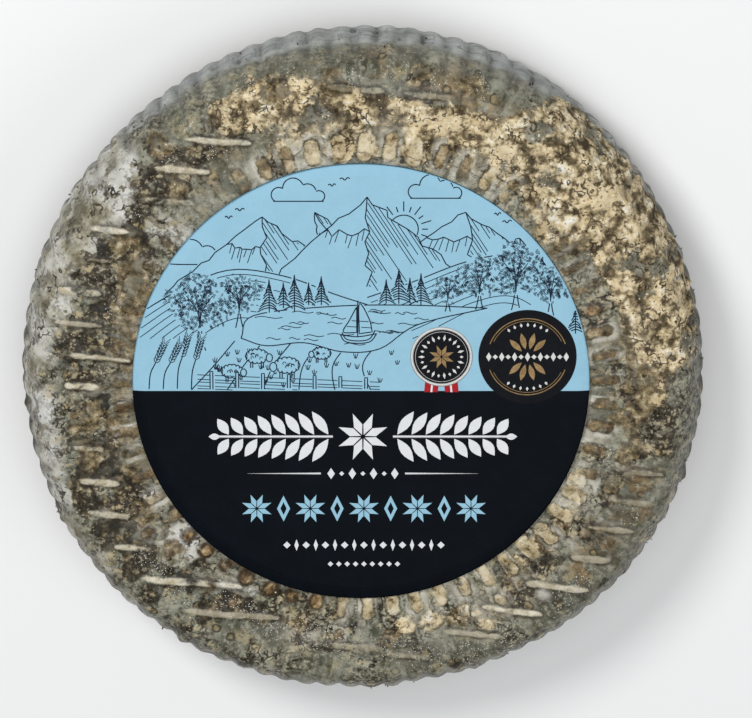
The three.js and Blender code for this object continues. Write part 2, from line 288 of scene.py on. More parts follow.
def make_active(piece):
    deselect_all()
    piece.select_set(True)
    bpy.context.view_layer.objects.active = piece


def newest(name):
    piece = bpy.context.object
    piece.name = name
    piece.data.name = name
    return piece


def settle(piece):
    """Leaves the object at the origin, with its place in its mesh."""
    make_active(piece)
    bpy.ops.object.transform_apply(location=True, rotation=True, scale=True)


def apply_all(piece):
    make_active(piece)
    for modifier in list(piece.modifiers):
        bpy.ops.object.modifier_apply(modifier=modifier.name)


def positions(piece):
    flat = np.zeros(len(piece.data.vertices) * 3, np.float32)
    piece.data.vertices.foreach_get("co", flat)
    return flat.reshape(-1, 3).astype(float)


def move_points(piece, places):
    piece.data.vertices.foreach_set("co", places.astype(np.float32).ravel())
    piece.data.update()


def smooth(low, high, value):
    share = np.clip((value - low) / (high - low), 0.0, 1.0)
    return share * share * (3 - 2 * share)


# Rind: the wheel's plain body


def face_depth(radius):
    rings = FACE_RINGS[::-1]
    return float(np.interp(radius, [ring[0] for ring in rings], [ring[1] for ring in rings]))


def wheel_profile():
    """The half section from the middle of the shown face round the side to that of the underside."""
    points = [(radius, WHEEL_HEIGHT - face_depth(radius)) for radius in (0.0, 14.0, 32.0, 50.0, 62.0, 69.6)]
    points += [(radius, WHEEL_HEIGHT - face_depth(radius)) for radius in (70.4, *np.arange(71.2, 98.3, 0.75))]
    half = WHEEL_HEIGHT / 2
    upper = np.radians(np.linspace(90, 0, 35))
    lower = np.radians(np.linspace(0, -90, 19))[1:]
    for turn in (*upper, *lower):
        points.append((FACE_RADIUS + BULGE * math.cos(turn), half + half * math.sin(turn)))
    points += [(radius, face_depth(radius)) for radius in (96.6, 94.7, 92.8, 91, 89.3, 87.6, 86, 84.6, 83.4)]
    points += [(radius, face_depth(radius)) for radius in (81.6, 79.4, 77.2, 75, 73, 71.2, 69.6)]
    points += [(radius, face_depth(radius)) for radius in (62.0, 50.0, 32.0, 14.0, 0.0)]
    return [(radius * MM, height * MM) for radius, height in points]


def wheel_body():
    """The smooth wheel: its half section drawn by extruding one vertex, then turned round the axis."""
    outline = wheel_profile()
    deselect_all()
    bpy.ops.mesh.primitive_plane_add(size=MM, location=(outline[0][0], 0, outline[0][1]))
    wheel = newest("rind")
    settle(wheel)
    bpy.ops.object.mode_set(mode="EDIT")
    bpy.ops.mesh.select_all(action="SELECT")
    bpy.ops.mesh.merge(type="CENTER")
    for before, after in zip(outline, outline[1:]):
        step = (after[0] - before[0], 0, after[1] - before[1])
        bpy.ops.mesh.extrude_region_move(TRANSFORM_OT_translate={"value": step})
    bpy.ops.object.mode_set(mode="OBJECT")
    turned = wheel.modifiers.new("turned", "SCREW")
    turned.axis = "Z"
    turned.angle = 2 * math.pi
    turned.steps = COLUMNS
    turned.render_steps = COLUMNS
    turned.use_merge_vertices = True
    turned.merge_threshold = 0.002 * MM
    apply_all(wheel)
    bpy.ops.object.mode_set(mode="EDIT")
    bpy.ops.mesh.select_all(action="SELECT")
    bpy.ops.mesh.remove_doubles(threshold=0.002 * MM)
    bpy.ops.mesh.normals_make_consistent(inside=False)
    bpy.ops.object.mode_set(mode="OBJECT")
    return wheel


# Rind: where each mark and finish lies


def lattice(cells, seed):
    """A repeatable number from 0 to 1 for every whole-numbered cell."""
    mixed = cells[..., 0] * 374761393 + cells[..., 1] * 668265263 + cells[..., 2] * 2147483629 + seed * 97531
    mixed = (mixed ^ (mixed >> 13)) * 1274126177
    return ((mixed ^ (mixed >> 16)) & 0xFFFFF) / 0xFFFFF


def turn_about(angle):
    cos, sin = math.cos(angle), math.sin(angle)
    spin = np.array([[cos, -sin, 0], [sin, cos, 0], [0, 0, 1]])
    return spin @ np.array([[1, 0, 0], [0, cos, -sin], [0, sin, cos]])


# How each octave of noise is turned, so that their cells don't line up
TURNS = [np.eye(3)] + [turn_about(angle) for angle in (0.7, 1.9, 3.3)]


def noise_field(points, size, octaves=3, seed=0):
    """Soft noise from about -1 to 1 at every point; size is its grain in millimetres."""
    total, height, span = np.zeros(len(points)), 1.0, 0.0
    for octave in range(octaves):
        place = (points @ TURNS[octave]) / size * 2.03**octave + 31.7 * octave
        cell = np.floor(place).astype(np.int64)
        part = place - cell
        part = part * part * (3 - 2 * part)
        value = 0
        for corner in np.ndindex(2, 2, 2):
            weight = np.prod(np.where(corner, part, 1 - part), axis=1)
            value = value + weight * lattice(cell + corner, seed + octave)
        total += height * (2 * value - 1)
        span += height
        height *= 0.55
    return total / span * 1.5


def oblong_table(seed, inner, outer, width, jitters):
    """One row an oblong round a ring: angle, inner end, outer end, width and share of the rise."""
    random = Stream(seed)
    turn_jitter, inner_jitter, outer_jitter, width_share, rise_share = jitters
    rows = []
    for i in range(SLOT_COUNT):
        angle = math.radians(SLOT_FIRST_ANGLE + 360 * i / SLOT_COUNT + turn_jitter * (random() - 0.5))
        near = inner + inner_jitter * random() if inner_jitter else inner
        far = outer - outer_jitter * random() if outer_jitter else outer
        wide = width * (1 - width_share + 2 * width_share * random())
        rows.append((angle, near, far, wide, 1 - rise_share + rise_share * random()))
    return np.array(rows)


def slot_table(seed):
    return oblong_table(seed, SLOT_INNER, SLOT_OUTER, SLOT_WIDTH, (0.6, 1.2, 0.9, 0.15, 0.25))


def spot_table(seed, radius, width):
    """Marks as long as they are wide, or nearly so."""
    rows = oblong_table(seed, radius, radius, width, (0.8, 0, 0, 0.2, 0.3))
    rows[:, 1] -= 0.65 * rows[:, 3]
    rows[:, 2] += 0.65 * rows[:, 3]
    return rows


def oblong_gap(angle, radius, table):
    """Signed distance in millimetres from the nearest radial oblong of a table, and that row's number."""
    pitch = 2 * math.pi / SLOT_COUNT
    row = np.round((angle - math.radians(SLOT_FIRST_ANGLE)) / pitch).astype(int) % SLOT_COUNT
    turn, inner, outer, width = (table[row, column] for column in range(4))
    aside = radius * np.sin(angle - turn)
    along = np.abs(radius * np.cos(angle - turn) - (inner + outer) / 2) - (outer - inner) / 2 + width / 2
    return np.hypot(aside, np.maximum(along, 0)) - width / 2, row


def bar_gap(x, y):
    """Signed distance in millimetres from the nearest rack bar, and how clearly that one shows."""
    tilt = math.radians(RACK_ANGLE)
    gap = np.full(len(x), 9.0)
    show = np.zeros(len(x))
    for middle_x, middle_y, length, width, clearness in RACK_BARS:
        off_x, off_y = x - middle_x, y - middle_y
        along = off_x * math.cos(tilt) + off_y * math.sin(tilt)
        across = off_y * math.cos(tilt) - off_x * math.sin(tilt)
        share = np.abs(along) / (length / 2)
        half_width = width / 2 * np.sqrt(np.clip(1 - share**5, 0, 1))
        beyond = np.maximum(np.abs(along) - length / 2, 0)
        to_bar = np.hypot(np.abs(across), beyond) - half_width
        show = np.where(to_bar < gap, clearness, show)
        gap = np.minimum(gap, to_bar)
    return gap, show


def patch_field(x, y, patches):
    total = np.zeros(len(x))
    for centre_x, centre_y, reach in patches:
        total += np.exp(-((x - centre_x) ** 2 + (y - centre_y) ** 2) / reach**2)
    return np.minimum(total, 1.2)


def crag_field(x, y, z):
    """Lumps that stand out of the side, where the frame's solid has its crags."""
    random = Stream(19)
    total = np.zeros(len(x))
    for i in range(CRAG_COUNT):
        angle = 2 * math.pi * (i + random()) / CRAG_COUNT
        turn = math.radians(-35 + 85 * random())
        scale = 0.7 + 0.5 * random()
        radius = FACE_RADIUS + BULGE * math.cos(turn)
        height = WHEEL_HEIGHT / 2 * (1 + math.sin(turn))
        off = (x - radius * math.cos(angle)) ** 2 + (y - radius * math.sin(angle)) ** 2 + (z - height) ** 2
        total += scale * np.exp(-off / (CRAG_WIDTH * scale) ** 2)
    return total


def rim_edge(angle, z):
    """Where the side is, and a narrow band where it turns under, which is lower at the back."""
    back = np.sin(angle)
    level = z + np.where(back > 0, 18, 5) * back
    return smooth(38, 28, z) * smooth(6, 13, z), smooth(33.5, 30.5, level) * smooth(22, 29, level)


def rind_fields(wheel):
    """The rind's relief in millimetres, and what its material needs to know, at every vertex."""
    place = positions(wheel) / MM
    x, y, z = place.T
    radius = np.hypot(x, y)
    angle = np.arctan2(y, x)
    top = z > WHEEL_HEIGHT / 2
    on_face = radius < FACE_RADIUS + 0.3
    bulge = np.clip((radius - FACE_RADIUS) / BULGE, 0, 1)
    outside_core = smooth(69.4, 71.4, radius)
    broad = noise_field(place, 9.0, 3, 3)
    middling = noise_field(place, 3.8, 3, 7)
    fine = noise_field(place, 1.8, 2, 12)

    off_x, off_y = x - MARKS_CENTRE[0], y - MARKS_CENTRE[1]
    mark_radius, mark_angle = np.hypot(off_x, off_y), np.arctan2(off_y, off_x)

    # On the hidden underside the finishes lie turned by half a circle
    mark_x, mark_y = np.where(top, off_x, -x), np.where(top, off_y, -y)

    groove = ((1 + np.cos(RIB_COUNT * angle - 4 * math.pi / 3)) / 2) ** 1.6
    rib = groove * smooth(0.1, 0.75, bulge) * (0.85 + 0.3 * middling)

    upper_slots, lower_slots = slot_table(11), slot_table(23)
    upper_gap, upper_row = oblong_gap(mark_angle, mark_radius, upper_slots)
    lower_gap, lower_row = oblong_gap(mark_angle, mark_radius, lower_slots)
    slot_gap = np.where(top, upper_gap, lower_gap) + np.where(on_face, 0, 9)
    slot_rise = np.where(top, upper_slots[upper_row, 4], lower_slots[lower_row, 4])
    dot_gap = oblong_gap(mark_angle, mark_radius, spot_table(77, DOT_RADIUS, DOT_WIDTH))[0]
    dot_gap = dot_gap + np.where(on_face & (broad > -0.1) & (np.sin(mark_angle) < -0.25), 0, 9)
    spot_gap = oblong_gap(mark_angle, mark_radius, spot_table(31, SPOT_RADIUS, SPOT_WIDTH))[0]
    rack_gap, bar_show = bar_gap(mark_x, mark_y)
    rack_gap = rack_gap + np.where(radius < FACE_RADIUS + 3.5, 0, 9)

    share = smooth(15, 31, z)

    def spread(patches):
        """Patches of the shown face that go over into those of the underside halfway down the side."""
        return share * patch_field(off_x, off_y, patches) + (1 - share) * patch_field(-x, -y, patches)

    crust_field = spread(CRUST_PATCHES)
    pale_field = spread(PALE_PATCHES)
    dark_field = spread(DARK_PATCHES)
    film_field = spread(FILM_PATCHES)
    slot_tone = 0.2 + 0.9 * patch_field(mark_x, mark_y, SLOT_CREAM_PATCHES)
    slot_tone += 0.35 * (lattice(np.stack([upper_row, upper_row * 0, upper_row * 0], 1), 8) - 0.5)
    slot_show = 0.25 + 0.75 * np.clip(1.6 * patch_field(mark_x, mark_y, SLOT_PATCHES), 0, 1)
    slot_halo = patch_field(mark_x, mark_y, SLOT_HALO_PATCHES)
    shrunk = smooth(0.3, 0.6, slot_halo)
    painted_gap = (1 - shrunk) * slot_gap + shrunk * (spot_gap + np.where(on_face, 0, 9))
    warm_field = spread(WARM_PATCHES)
    wrinkle_field = spread(WRINKLED_PATCHES)
    deep_field = spread(DEEP_PATCHES)
    bead_field = patch_field(mark_x, mark_y, BEAD_PATCHES) * (z > 30) * (mark_radius > 76)
    low, turned_under = rim_edge(angle, z)
    # The wall's light grey goes all round low down, and higher up on the side facing the camera and the
    # light, where it is partly painted sheen
    shown_wall = smooth(0.5, 0.92, np.sin(angle) + 0.12 * broad + 0.08 * middling)
    side = low * np.maximum(shown_wall, smooth(29, 12, z + 9 * broad + 4 * middling))
    crust_field *= 1 - 0.8 * smooth(33, 27, z) * smooth(8, 14, z)
    dark_field *= 1 - 0.6 * low

    beyond_label = smooth(72.3, 73.6, np.hypot(x - LABEL_CENTRE[0], y - LABEL_CENTRE[1]))
    outside_core *= np.where(top, beyond_label, 1)
    ragged = 0.35 * broad + 0.3 * middling
    crust = smooth(0.4, 0.65, crust_field + 0.5 * ragged)
    dark = smooth(0.35, 0.65, dark_field + ragged)
    lump = smooth(-0.35, 0.5, middling)
    crust_height = crust * (0.2 + 0.8 * lump) * (0.8 + 0.35 * fine)
    slot = smooth(0.3, -0.9, slot_gap + 0.3 * fine)
    dot = smooth(0.3, -0.9, dot_gap + 0.3 * fine)
    bar = smooth(0.3, -0.5, rack_gap)
    calm = 1 - 0.6 * smooth(0.2, 0.8, pale_field) - 0.3 * side
    relief = -RIB_DEPTH * rib + 0.32 * broad * calm + 0.1 * fine * calm
    relief += SLOT_RISE * slot * slot_rise * (0.4 + 0.6 * slot_show) * (1 - 0.5 * shrunk) + DOT_RISE * dot
    relief += BAR_RISE * bar * (0.3 + 0.7 * bar_show)
    relief += 0.85 * crust_height * (1 - 0.7 * slot) * (1 - bar)
    relief -= 0.4 * dark * smooth(0.1, -0.6, middling) * (1 - slot) * (1 - bar)
    relief += CRAG_RISE * crag_field(x, y, z)
    shown_rim = smooth(16, 24, z) * smooth(43, 38, z) * beyond_label
    crumb_field = (crust * (0.25 + 0.75 * lump) + 0.2 * dark) * (z > 16) * (1 - slot) * beyond_label
    bead_field = smooth(0.1, 1.0, bead_field) * (1 - 0.9 * crust)
    return relief * outside_core, {
        "rib_groove": rib,
        "slot_gap": np.clip(painted_gap, -3, 3),
        "slot_show": slot_show,
        "slot_tone": slot_tone,
        "slot_halo": slot_halo,
        "dot_gap": np.clip(dot_gap, -3, 3),
        "bar_gap": np.clip(rack_gap, -3, 3),
        "bar_show": bar_show,
        "crust_field": crust_field,
        "lump": middling,
        "pale_field": pale_field,
        "dark_field": dark_field,
        "film_field": film_field,
        "warm_field": warm_field,
        "bead_field": bead_field,
        "wrinkle_field": wrinkle_field,
        "deep_field": np.maximum(deep_field, bead_field * smooth(80, 70, mark_y)),
        "crumb_field": crumb_field,
        "tuft_field": shown_rim * smooth(-0.1, 0.8, middling),
        "side": side,
        "low": low,
        "turned_under": turned_under,
        "swell": broad,
    }


def write_attribute(piece, name, values):
    layer = piece.data.attributes.new(name, "FLOAT", "POINT")
    layer.data.foreach_set("value", values.astype(np.float32))


def raise_relief(piece, relief):
    """Paints the relief as a raised and a sunk vertex group, each of which lifts or lowers the surface."""
    for name, heights in (("raised", relief), ("sunk", -relief)):
        tallest = heights.max()
        group = piece.vertex_groups.new(name=name)
        for index in np.flatnonzero(heights > 0.004 * tallest):
            group.add((int(index),), float(heights[index] / tallest), "REPLACE")
        lift = piece.modifiers.new(name, "DISPLACE")
        lift.vertex_group = name
        lift.direction = "NORMAL"
        lift.mid_level = 0.0
        lift.strength = tallest * MM if name == "raised" else -tallest * MM


def uneven_outline(piece):
    """The wheel isn't quite round: its outline waves as the frame's solid does."""
    place = positions(piece)
    angle = np.arctan2(place[:, 1], place[:, 0])
    radius = np.hypot(place[:, 0], place[:, 1])
    wave = sum(height * np.sin(per_turn * angle + start) for per_turn, height, start in OUTLINE_WAVES)
    share = 1 + wave * np.minimum(radius / MM / WHEEL_RADIUS, 1) * MM / np.maximum(radius, MM)
    place[:, 0] *= share
    place[:, 1] *= share
    move_points(piece, place)


def lay_flat(piece):
    """What would reach below the surface that the wheel lies on is pressed flat."""
    place = positions(piece)
    place[:, 2] = np.maximum(place[:, 2], 0)
    move_points(piece, place)


def make_rind():
    wheel = wheel_body()
    relief, fields = rind_fields(wheel)
    uneven_outline(wheel)
    raise_relief(wheel, relief)
    apply_all(wheel)
    lay_flat(wheel)
    wheel.vertex_groups.clear()
    for name, values in fields.items():
        write_attribute(wheel, name, values)
    bpy.ops.object.shade_smooth()
    return wheel


# Material helpers


class Shader:
    """A material or a node group being wired up."""

    def __init__(self, tree):
        self.tree = tree

    def node(self, kind, **values):
        made = self.tree.nodes.new(kind)
        for name, value in values.items():
            setattr(made, name, value)
        return made

    def link(self, source, target):
        self.tree.links.new(source, target)

    def feed(self, socket, value):
        if isinstance(value, bpy.types.NodeSocket):
            self.link(value, socket)
        else:
            socket.default_value = value

    def attribute(self, name):
        return self.node("ShaderNodeAttribute", attribute_name=name).outputs["Fac"]

    def math(self, operation, first, second=0.0, clamp=False):
        made = self.node("ShaderNodeMath", operation=operation, use_clamp=clamp)
        self.feed(made.inputs[0], first)
        self.feed(made.inputs[1], second)
        return made.outputs[0]

    def times(self, first, second):
        return self.math("MULTIPLY", first, second)

    def plus(self, first, second):
        return self.math("ADD", first, second)

    def less(self, first, second):
        return self.math("SUBTRACT", first, second)

    def vector(self, operation, first, second=None):
        made = self.node("ShaderNodeVectorMath", operation=operation)
        self.feed(made.inputs[0], first)
        if second is not None:
            self.feed(made.inputs["Scale" if operation == "SCALE" else 1], second)
        return made.outputs["Value" if operation == "LENGTH" else "Vector"]

    def mix(self, share, low, high):
        made = self.node("ShaderNodeMix", data_type="RGBA")
        self.feed(made.inputs["Factor"], share)
        colours = [socket for socket in made.inputs if socket.type == "RGBA"]
        self.feed(colours[0], low)
        self.feed(colours[1], high)
        return [socket for socket in made.outputs if socket.type == "RGBA"][0]

    def span(self, value, low, high, to_low=0.0, to_high=1.0):
        made = self.node("ShaderNodeMapRange", interpolation_type="SMOOTHSTEP")
        self.feed(made.inputs["Value"], value)
        for name, number in (("From Min", low), ("From Max", high), ("To Min", to_low), ("To Max", to_high)):
            made.inputs[name].default_value = number
        return made.outputs["Result"]

    def ramp(self, value, stops):
        made = self.node("ShaderNodeValToRGB")
        band = made.color_ramp
        while len(band.elements) < len(stops):
            band.elements.new(0.5)
        for element, (place, colour) in zip(band.elements, stops):
            element.position = place
            element.color = colour
        self.feed(made.inputs["Fac"], value)
        return made.outputs["Color"]

    def noise(self, vector, scale, detail=3.0, rough=0.6, output="Fac"):
        made = self.node("ShaderNodeTexNoise")
        self.feed(made.inputs["Vector"], vector)
        self.feed(made.inputs["Scale"], scale)
        made.inputs["Detail"].default_value = detail
        made.inputs["Roughness"].default_value = rough
        return made.outputs[output]

    def cells(self, vector, scale, feature="F1"):
        made = self.node("ShaderNodeTexVoronoi", feature=feature)
        self.feed(made.inputs["Vector"], vector)
        self.feed(made.inputs["Scale"], scale)
        return made.outputs

    def group(self, tree, **values):
        made = self.node("ShaderNodeGroup", node_tree=tree)
        for name, value in values.items():
            self.feed(made.inputs[name.replace("_", " ")], value)
        return made


class Paint(Shader):
    """A new material, with what its layers of colour are made of."""

    def __init__(self, name):
        self.material = bpy.data.materials.new(name)
        self.material.use_nodes = True
        super().__init__(self.material.node_tree)
        self.finish = next(node for node in self.tree.nodes if node.type == "BSDF_PRINCIPLED")
        self.place = self.node("ShaderNodeTexCoord").outputs["Object"]

    def where_noise(self, scale, low, high, detail=3.0, vector=None):
        """A mask that rises from 0 to 1 as a noise goes from one level to the other."""
        return self.span(self.noise(vector or self.place, scale, detail), low, high)

    def tones(self, scale, detail, rough, colours):
        """Some colours spread over the usual range of a noise."""
        steps = [0.34 + 0.32 * i / (len(colours) - 1) for i in range(len(colours))]
        stops = [(step, seen(*colour)) for step, colour in zip(steps, colours)]
        return self.ramp(self.noise(self.place, scale, detail, rough), stops)

    def cover(self, colour, top, share, strength=1.0):
        """Lays a colour over another where a mask says."""
        top = seen(*top) if isinstance(top, tuple) and len(top) == 3 else top
        return self.mix(self.times(share, strength), colour, top)

    def mottling(self, scale, low, high):
        tones = {"Low_colour": seen(*low), "High_colour": seen(*high)}
        return self.group(MOTTLING, Vector=self.place, Scale=scale, **tones).outputs["Colour"]

    def ragged(self, field, scale, break_up, threshold, softness):
        values = {"Field": field, "Break_up": break_up, "Threshold": threshold, "Softness": softness}
        return self.group(RAGGED, Vector=self.place, Scale=scale, **values).outputs["Mask"]

    def cracks(self, scale, width, levels=1.0):
        return self.group(CRACKS, Vector=self.place, Scale=scale, Width=width, Levels=levels).outputs["Mask"]

    def lumps(self, scale, warp):
        made = self.group(LUMPS, Vector=self.place, Scale=scale, Warp=warp)
        return made.outputs["Edge"], made.outputs["Height"]

    def rings(self, scale, share):
        made = self.group(RINGS, Vector=self.place, Scale=scale, Share=share)
        return made.outputs["Ring"], made.outputs["Middle"]

    def shade_by_height(self, height, levels):
        """Colours from the gaps between lumps up to their tops: painted shade low down, painted highlight on
        top.
        """
        return self.ramp(height, [(level, seen(*colour)) for level, colour in levels])

    def grain(self, scale, depth, height=0.0):
        made = self.group(GRAIN, Vector=self.place, Scale=scale, Depth=depth, Height=height)
        self.link(made.outputs["Normal"], self.finish.inputs["Normal"])

    def surface(self, colour, **constants):
        """Puts the colour and the constants on the shader, and hands over the material."""
        self.link(colour, self.finish.inputs["Base Color"])
        for name, value in constants.items():
            self.finish.inputs[name.replace("_", " ")].default_value = value
        return self.material


def new_group(name, inputs, outputs):
    """A node group: each input's kind follows from its value, and an output's is given."""
    tree = bpy.data.node_groups.new(name, "ShaderNodeTree")
    for label, value in inputs.items():
        kind = "Vector" if value is None else "Float" if isinstance(value, float) else "Color"
        socket = tree.interface.new_socket(name=label, in_out="INPUT", socket_type="NodeSocket" + kind)
        if value is not None:
            socket.default_value = value
    for label, kind in outputs.items():
        tree.interface.new_socket(name=label, in_out="OUTPUT", socket_type="NodeSocket" + kind)
    shader = Shader(tree)
    return tree, shader, shader.node("NodeGroupInput").outputs, shader.node("NodeGroupOutput").inputs


def mottling_group():
    """Two colours broken into each other at two grains."""
    tones = {"Low colour": (0.1, 0.1, 0.1, 1), "High colour": (0.5, 0.5, 0.5, 1)}
    inputs = {"Vector": None, "Scale": 300.0, **tones}
    tree, shader, source, result = new_group("mottling", inputs, {"Colour": "Color"})
    vector, scale = source["Vector"], source["Scale"]
    coarse = shader.noise(vector, scale, 4.0, 0.65)
    fine = shader.noise(vector, shader.times(scale, 5.3), 2.0, 0.7)
    share = shader.span(shader.plus(shader.times(coarse, 0.7), shader.times(fine, 0.3)), 0.36, 0.64)
    shader.link(shader.mix(share, source["Low colour"], source["High colour"]), result["Colour"])
    return tree


def ragged_group():
    """A field cut off at a threshold, whose edge is broken up by noise."""
    cut = {"Field": 0.0, "Break up": 1.0, "Threshold": 0.5, "Softness": 0.1}
    inputs = {"Vector": None, "Scale": 300.0, **cut}
    tree, shader, source, result = new_group("ragged_edge", inputs, {"Mask": "Float"})
    grain = shader.noise(source["Vector"], source["Scale"], 5.0, 0.62)
    off = shader.times(shader.less(grain, 0.5), source["Break up"])
    level = shader.less(shader.plus(source["Field"], off), source["Threshold"])
    level = shader.math("DIVIDE", level, source["Softness"])
    shader.link(shader.math("ADD", level, 0.5, clamp=True), result["Mask"])
    return tree


def crack_group():
    """Short wriggling lines, nested as on a map where there are more levels, and broken off at random."""
    inputs = {"Vector": None, "Scale": 500.0, "Width": 0.03, "Levels": 1.0}
    tree, shader, source, result = new_group("cracks", inputs, {"Mask": "Float"})
    vector, scale, levels = source["Vector"], source["Scale"], source["Levels"]
    wave = shader.noise(vector, scale, 2.5, 0.6)
    level = shader.math("FRACT", shader.times(wave, levels))
    away = shader.math("DIVIDE", shader.math("ABSOLUTE", shader.less(level, 0.5)), levels)
    line = shader.math("SUBTRACT", 1.8, shader.math("DIVIDE", away, source["Width"]), clamp=True)
    breaks = shader.noise(vector, shader.times(scale, 0.83), 1.0, 0.5)
    shader.link(shader.times(line, shader.span(breaks, 0.47, 0.55)), result["Mask"])
    return tree


def lumps_group():
    """Rounded lumps side by side: where two meet, and how high lumps of all sizes stand."""
    inputs = {"Vector": None, "Scale": 300.0, "Warp": 0.002}
    tree, shader, source, result = new_group("lumps", inputs, {"Edge": "Float", "Height": "Float"})
    vector, scale = source["Vector"], source["Scale"]
    bend = shader.noise(vector, shader.times(scale, 0.8), 3.0, 0.5, "Color")
    bend = shader.vector("SCALE", shader.vector("SUBTRACT", bend, (0.5, 0.5, 0.5)), source["Warp"])
    moved = shader.vector("ADD", vector, bend)
    meeting = shader.cells(moved, scale, "DISTANCE_TO_EDGE")["Distance"]
    shader.link(shader.span(meeting, 0.12, 0.01), result["Edge"])
    lumps = shader.cells(moved, scale)["Distance"]
    crumbs = shader.cells(moved, shader.times(scale, 2.3))["Distance"]
    height = shader.plus(shader.times(lumps, -0.3), shader.times(crumbs, -0.2))
    wide = shader.noise(vector, shader.times(scale, 0.36), 7.0, 0.64)
    grain = shader.noise(vector, shader.times(scale, 1.4), 4.0, 0.6)
    rough = shader.plus(shader.times(wide, 0.6), shader.times(grain, 0.55))
    shader.link(shader.plus(height, shader.plus(rough, 0.175)), result["Height"])
    return tree


def rings_group():
    """Round marks here and there: the dark ring round each, and its middle."""
    inputs = {"Vector": None, "Scale": 200.0, "Share": 0.5}
    tree, shader, source, result = new_group("round_marks", inputs, {"Ring": "Float", "Middle": "Float"})
    vector, scale = source["Vector"], source["Scale"]
    bend = shader.noise(vector, shader.times(scale, 2.0), 2.0, 0.5, "Color")
    cells = shader.cells(shader.vector("ADD", vector, shader.vector("SCALE", bend, 1.6 * MM)), scale)
    chance = shader.node("ShaderNodeSeparateColor")
    shader.link(cells["Color"], chance.inputs["Color"])
    picked = shader.math("LESS_THAN", chance.outputs["Red"], source["Share"])
    reach = shader.plus(0.16, shader.times(chance.outputs["Green"], 0.2))
    off = shader.less(cells["Distance"], reach)
    ring = shader.span(shader.math("ABSOLUTE", off), 0.1, 0.03)
    shader.link(shader.times(ring, picked), result["Ring"])
    shader.link(shader.times(shader.span(off, -0.02, -0.1), picked), result["Middle"])
    return tree


def grain_group():
    """A fine bumpy normal on top of a given height."""
    inputs = {"Vector": None, "Scale": 1500.0, "Depth": 0.5, "Height": 0.0}
    tree, shader, source, result = new_group("grain", inputs, {"Normal": "Vector"})
    pores = shader.noise(source["Vector"], source["Scale"], 3.0, 0.7)
    bump = shader.node("ShaderNodeBump")
    bump.inputs["Strength"].default_value = 0.8
    bump.inputs["Distance"].default_value = 0.5 * MM
    shader.link(shader.plus(shader.times(pores, source["Depth"]), source["Height"]), bump.inputs["Height"])
    shader.link(bump.outputs["Normal"], result["Normal"])
    return tree


MOTTLING = mottling_group()
RAGGED = ragged_group()
CRACKS = crack_group()
LUMPS = lumps_group()
RINGS = rings_group()
GRAIN = grain_group()


def streak_vector(paint):
    """A place whose noise is drawn out along the radius on a face, and downwards on the side."""
    flat = paint.vector("MULTIPLY", paint.place, (1, 1, 0))
    circle = paint.vector("SCALE", paint.vector("NORMALIZE", flat), FACE_RADIUS * MM)
    apart = paint.node("ShaderNodeSeparateXYZ")
    paint.link(paint.place, apart.inputs["Vector"])
    along = paint.times(paint.less(paint.vector("LENGTH", flat), apart.outputs["Z"]), 0.22)
    lifted = paint.node("ShaderNodeCombineXYZ")
    paint.link(along, lifted.inputs["Z"])
    return paint.vector("ADD", circle, lifted.outputs["Vector"])


def paint_skin(paint, streaks):
    """Grey-green skin under a moist film, with drawn-out streaks, warm stains and round marks."""
    colour = paint.tones(95.0, 8.0, 0.64, SKIN_TONES)
    colour = paint.cover(colour, (56, 56, 44), paint.where_noise(60.0, 0.56, 0.64, 6.0), 0.55)
    filmed = paint.times(paint.attribute("film_field"), paint.where_noise(55.0, 0.38, 0.54))
    colour = paint.cover(colour, (84, 82, 67), filmed, 0.6)
    deep = paint.span(paint.attribute("deep_field"), 0.15, 0.7)
    deep = paint.times(deep, paint.where_noise(120.0, 0.38, 0.5, 5.0))
    colour = paint.cover(colour, (62, 61, 51), deep, 0.6)
    colour = paint.cover(colour, (164, 152, 118), paint.where_noise(170.0, 0.55, 0.66), 0.7)
    stain = paint.times(paint.attribute("warm_field"), paint.where_noise(110.0, 0.4, 0.55))
    colour = paint.cover(colour, paint.mottling(200.0, (98, 70, 38), (160, 130, 86)), stain, 0.65)
    colour = paint.cover(colour, (160, 158, 142), paint.where_noise(330.0, 0.55, 0.68, 4.0, streaks), 0.5)
    colour = paint.cover(colour, (62, 59, 44), paint.where_noise(300.0, 0.46, 0.34, 4.0, streaks), 0.65)
    grit = paint.noise(paint.place, 620.0, 3.0, 0.65)
    colour = paint.cover(colour, (58, 56, 43), paint.span(grit, 0.57, 0.62), 0.6)
    colour = paint.cover(colour, (178, 175, 156), paint.span(grit, 0.43, 0.37), 0.5)
    ring, middle = paint.rings(190.0, 0.35)
    marked = paint.where_noise(50.0, 0.42, 0.52)
    colour = paint.cover(colour, (150, 132, 94), paint.times(middle, marked), 0.75)
    return paint.cover(colour, (52, 48, 35), paint.times(ring, marked), 0.8)


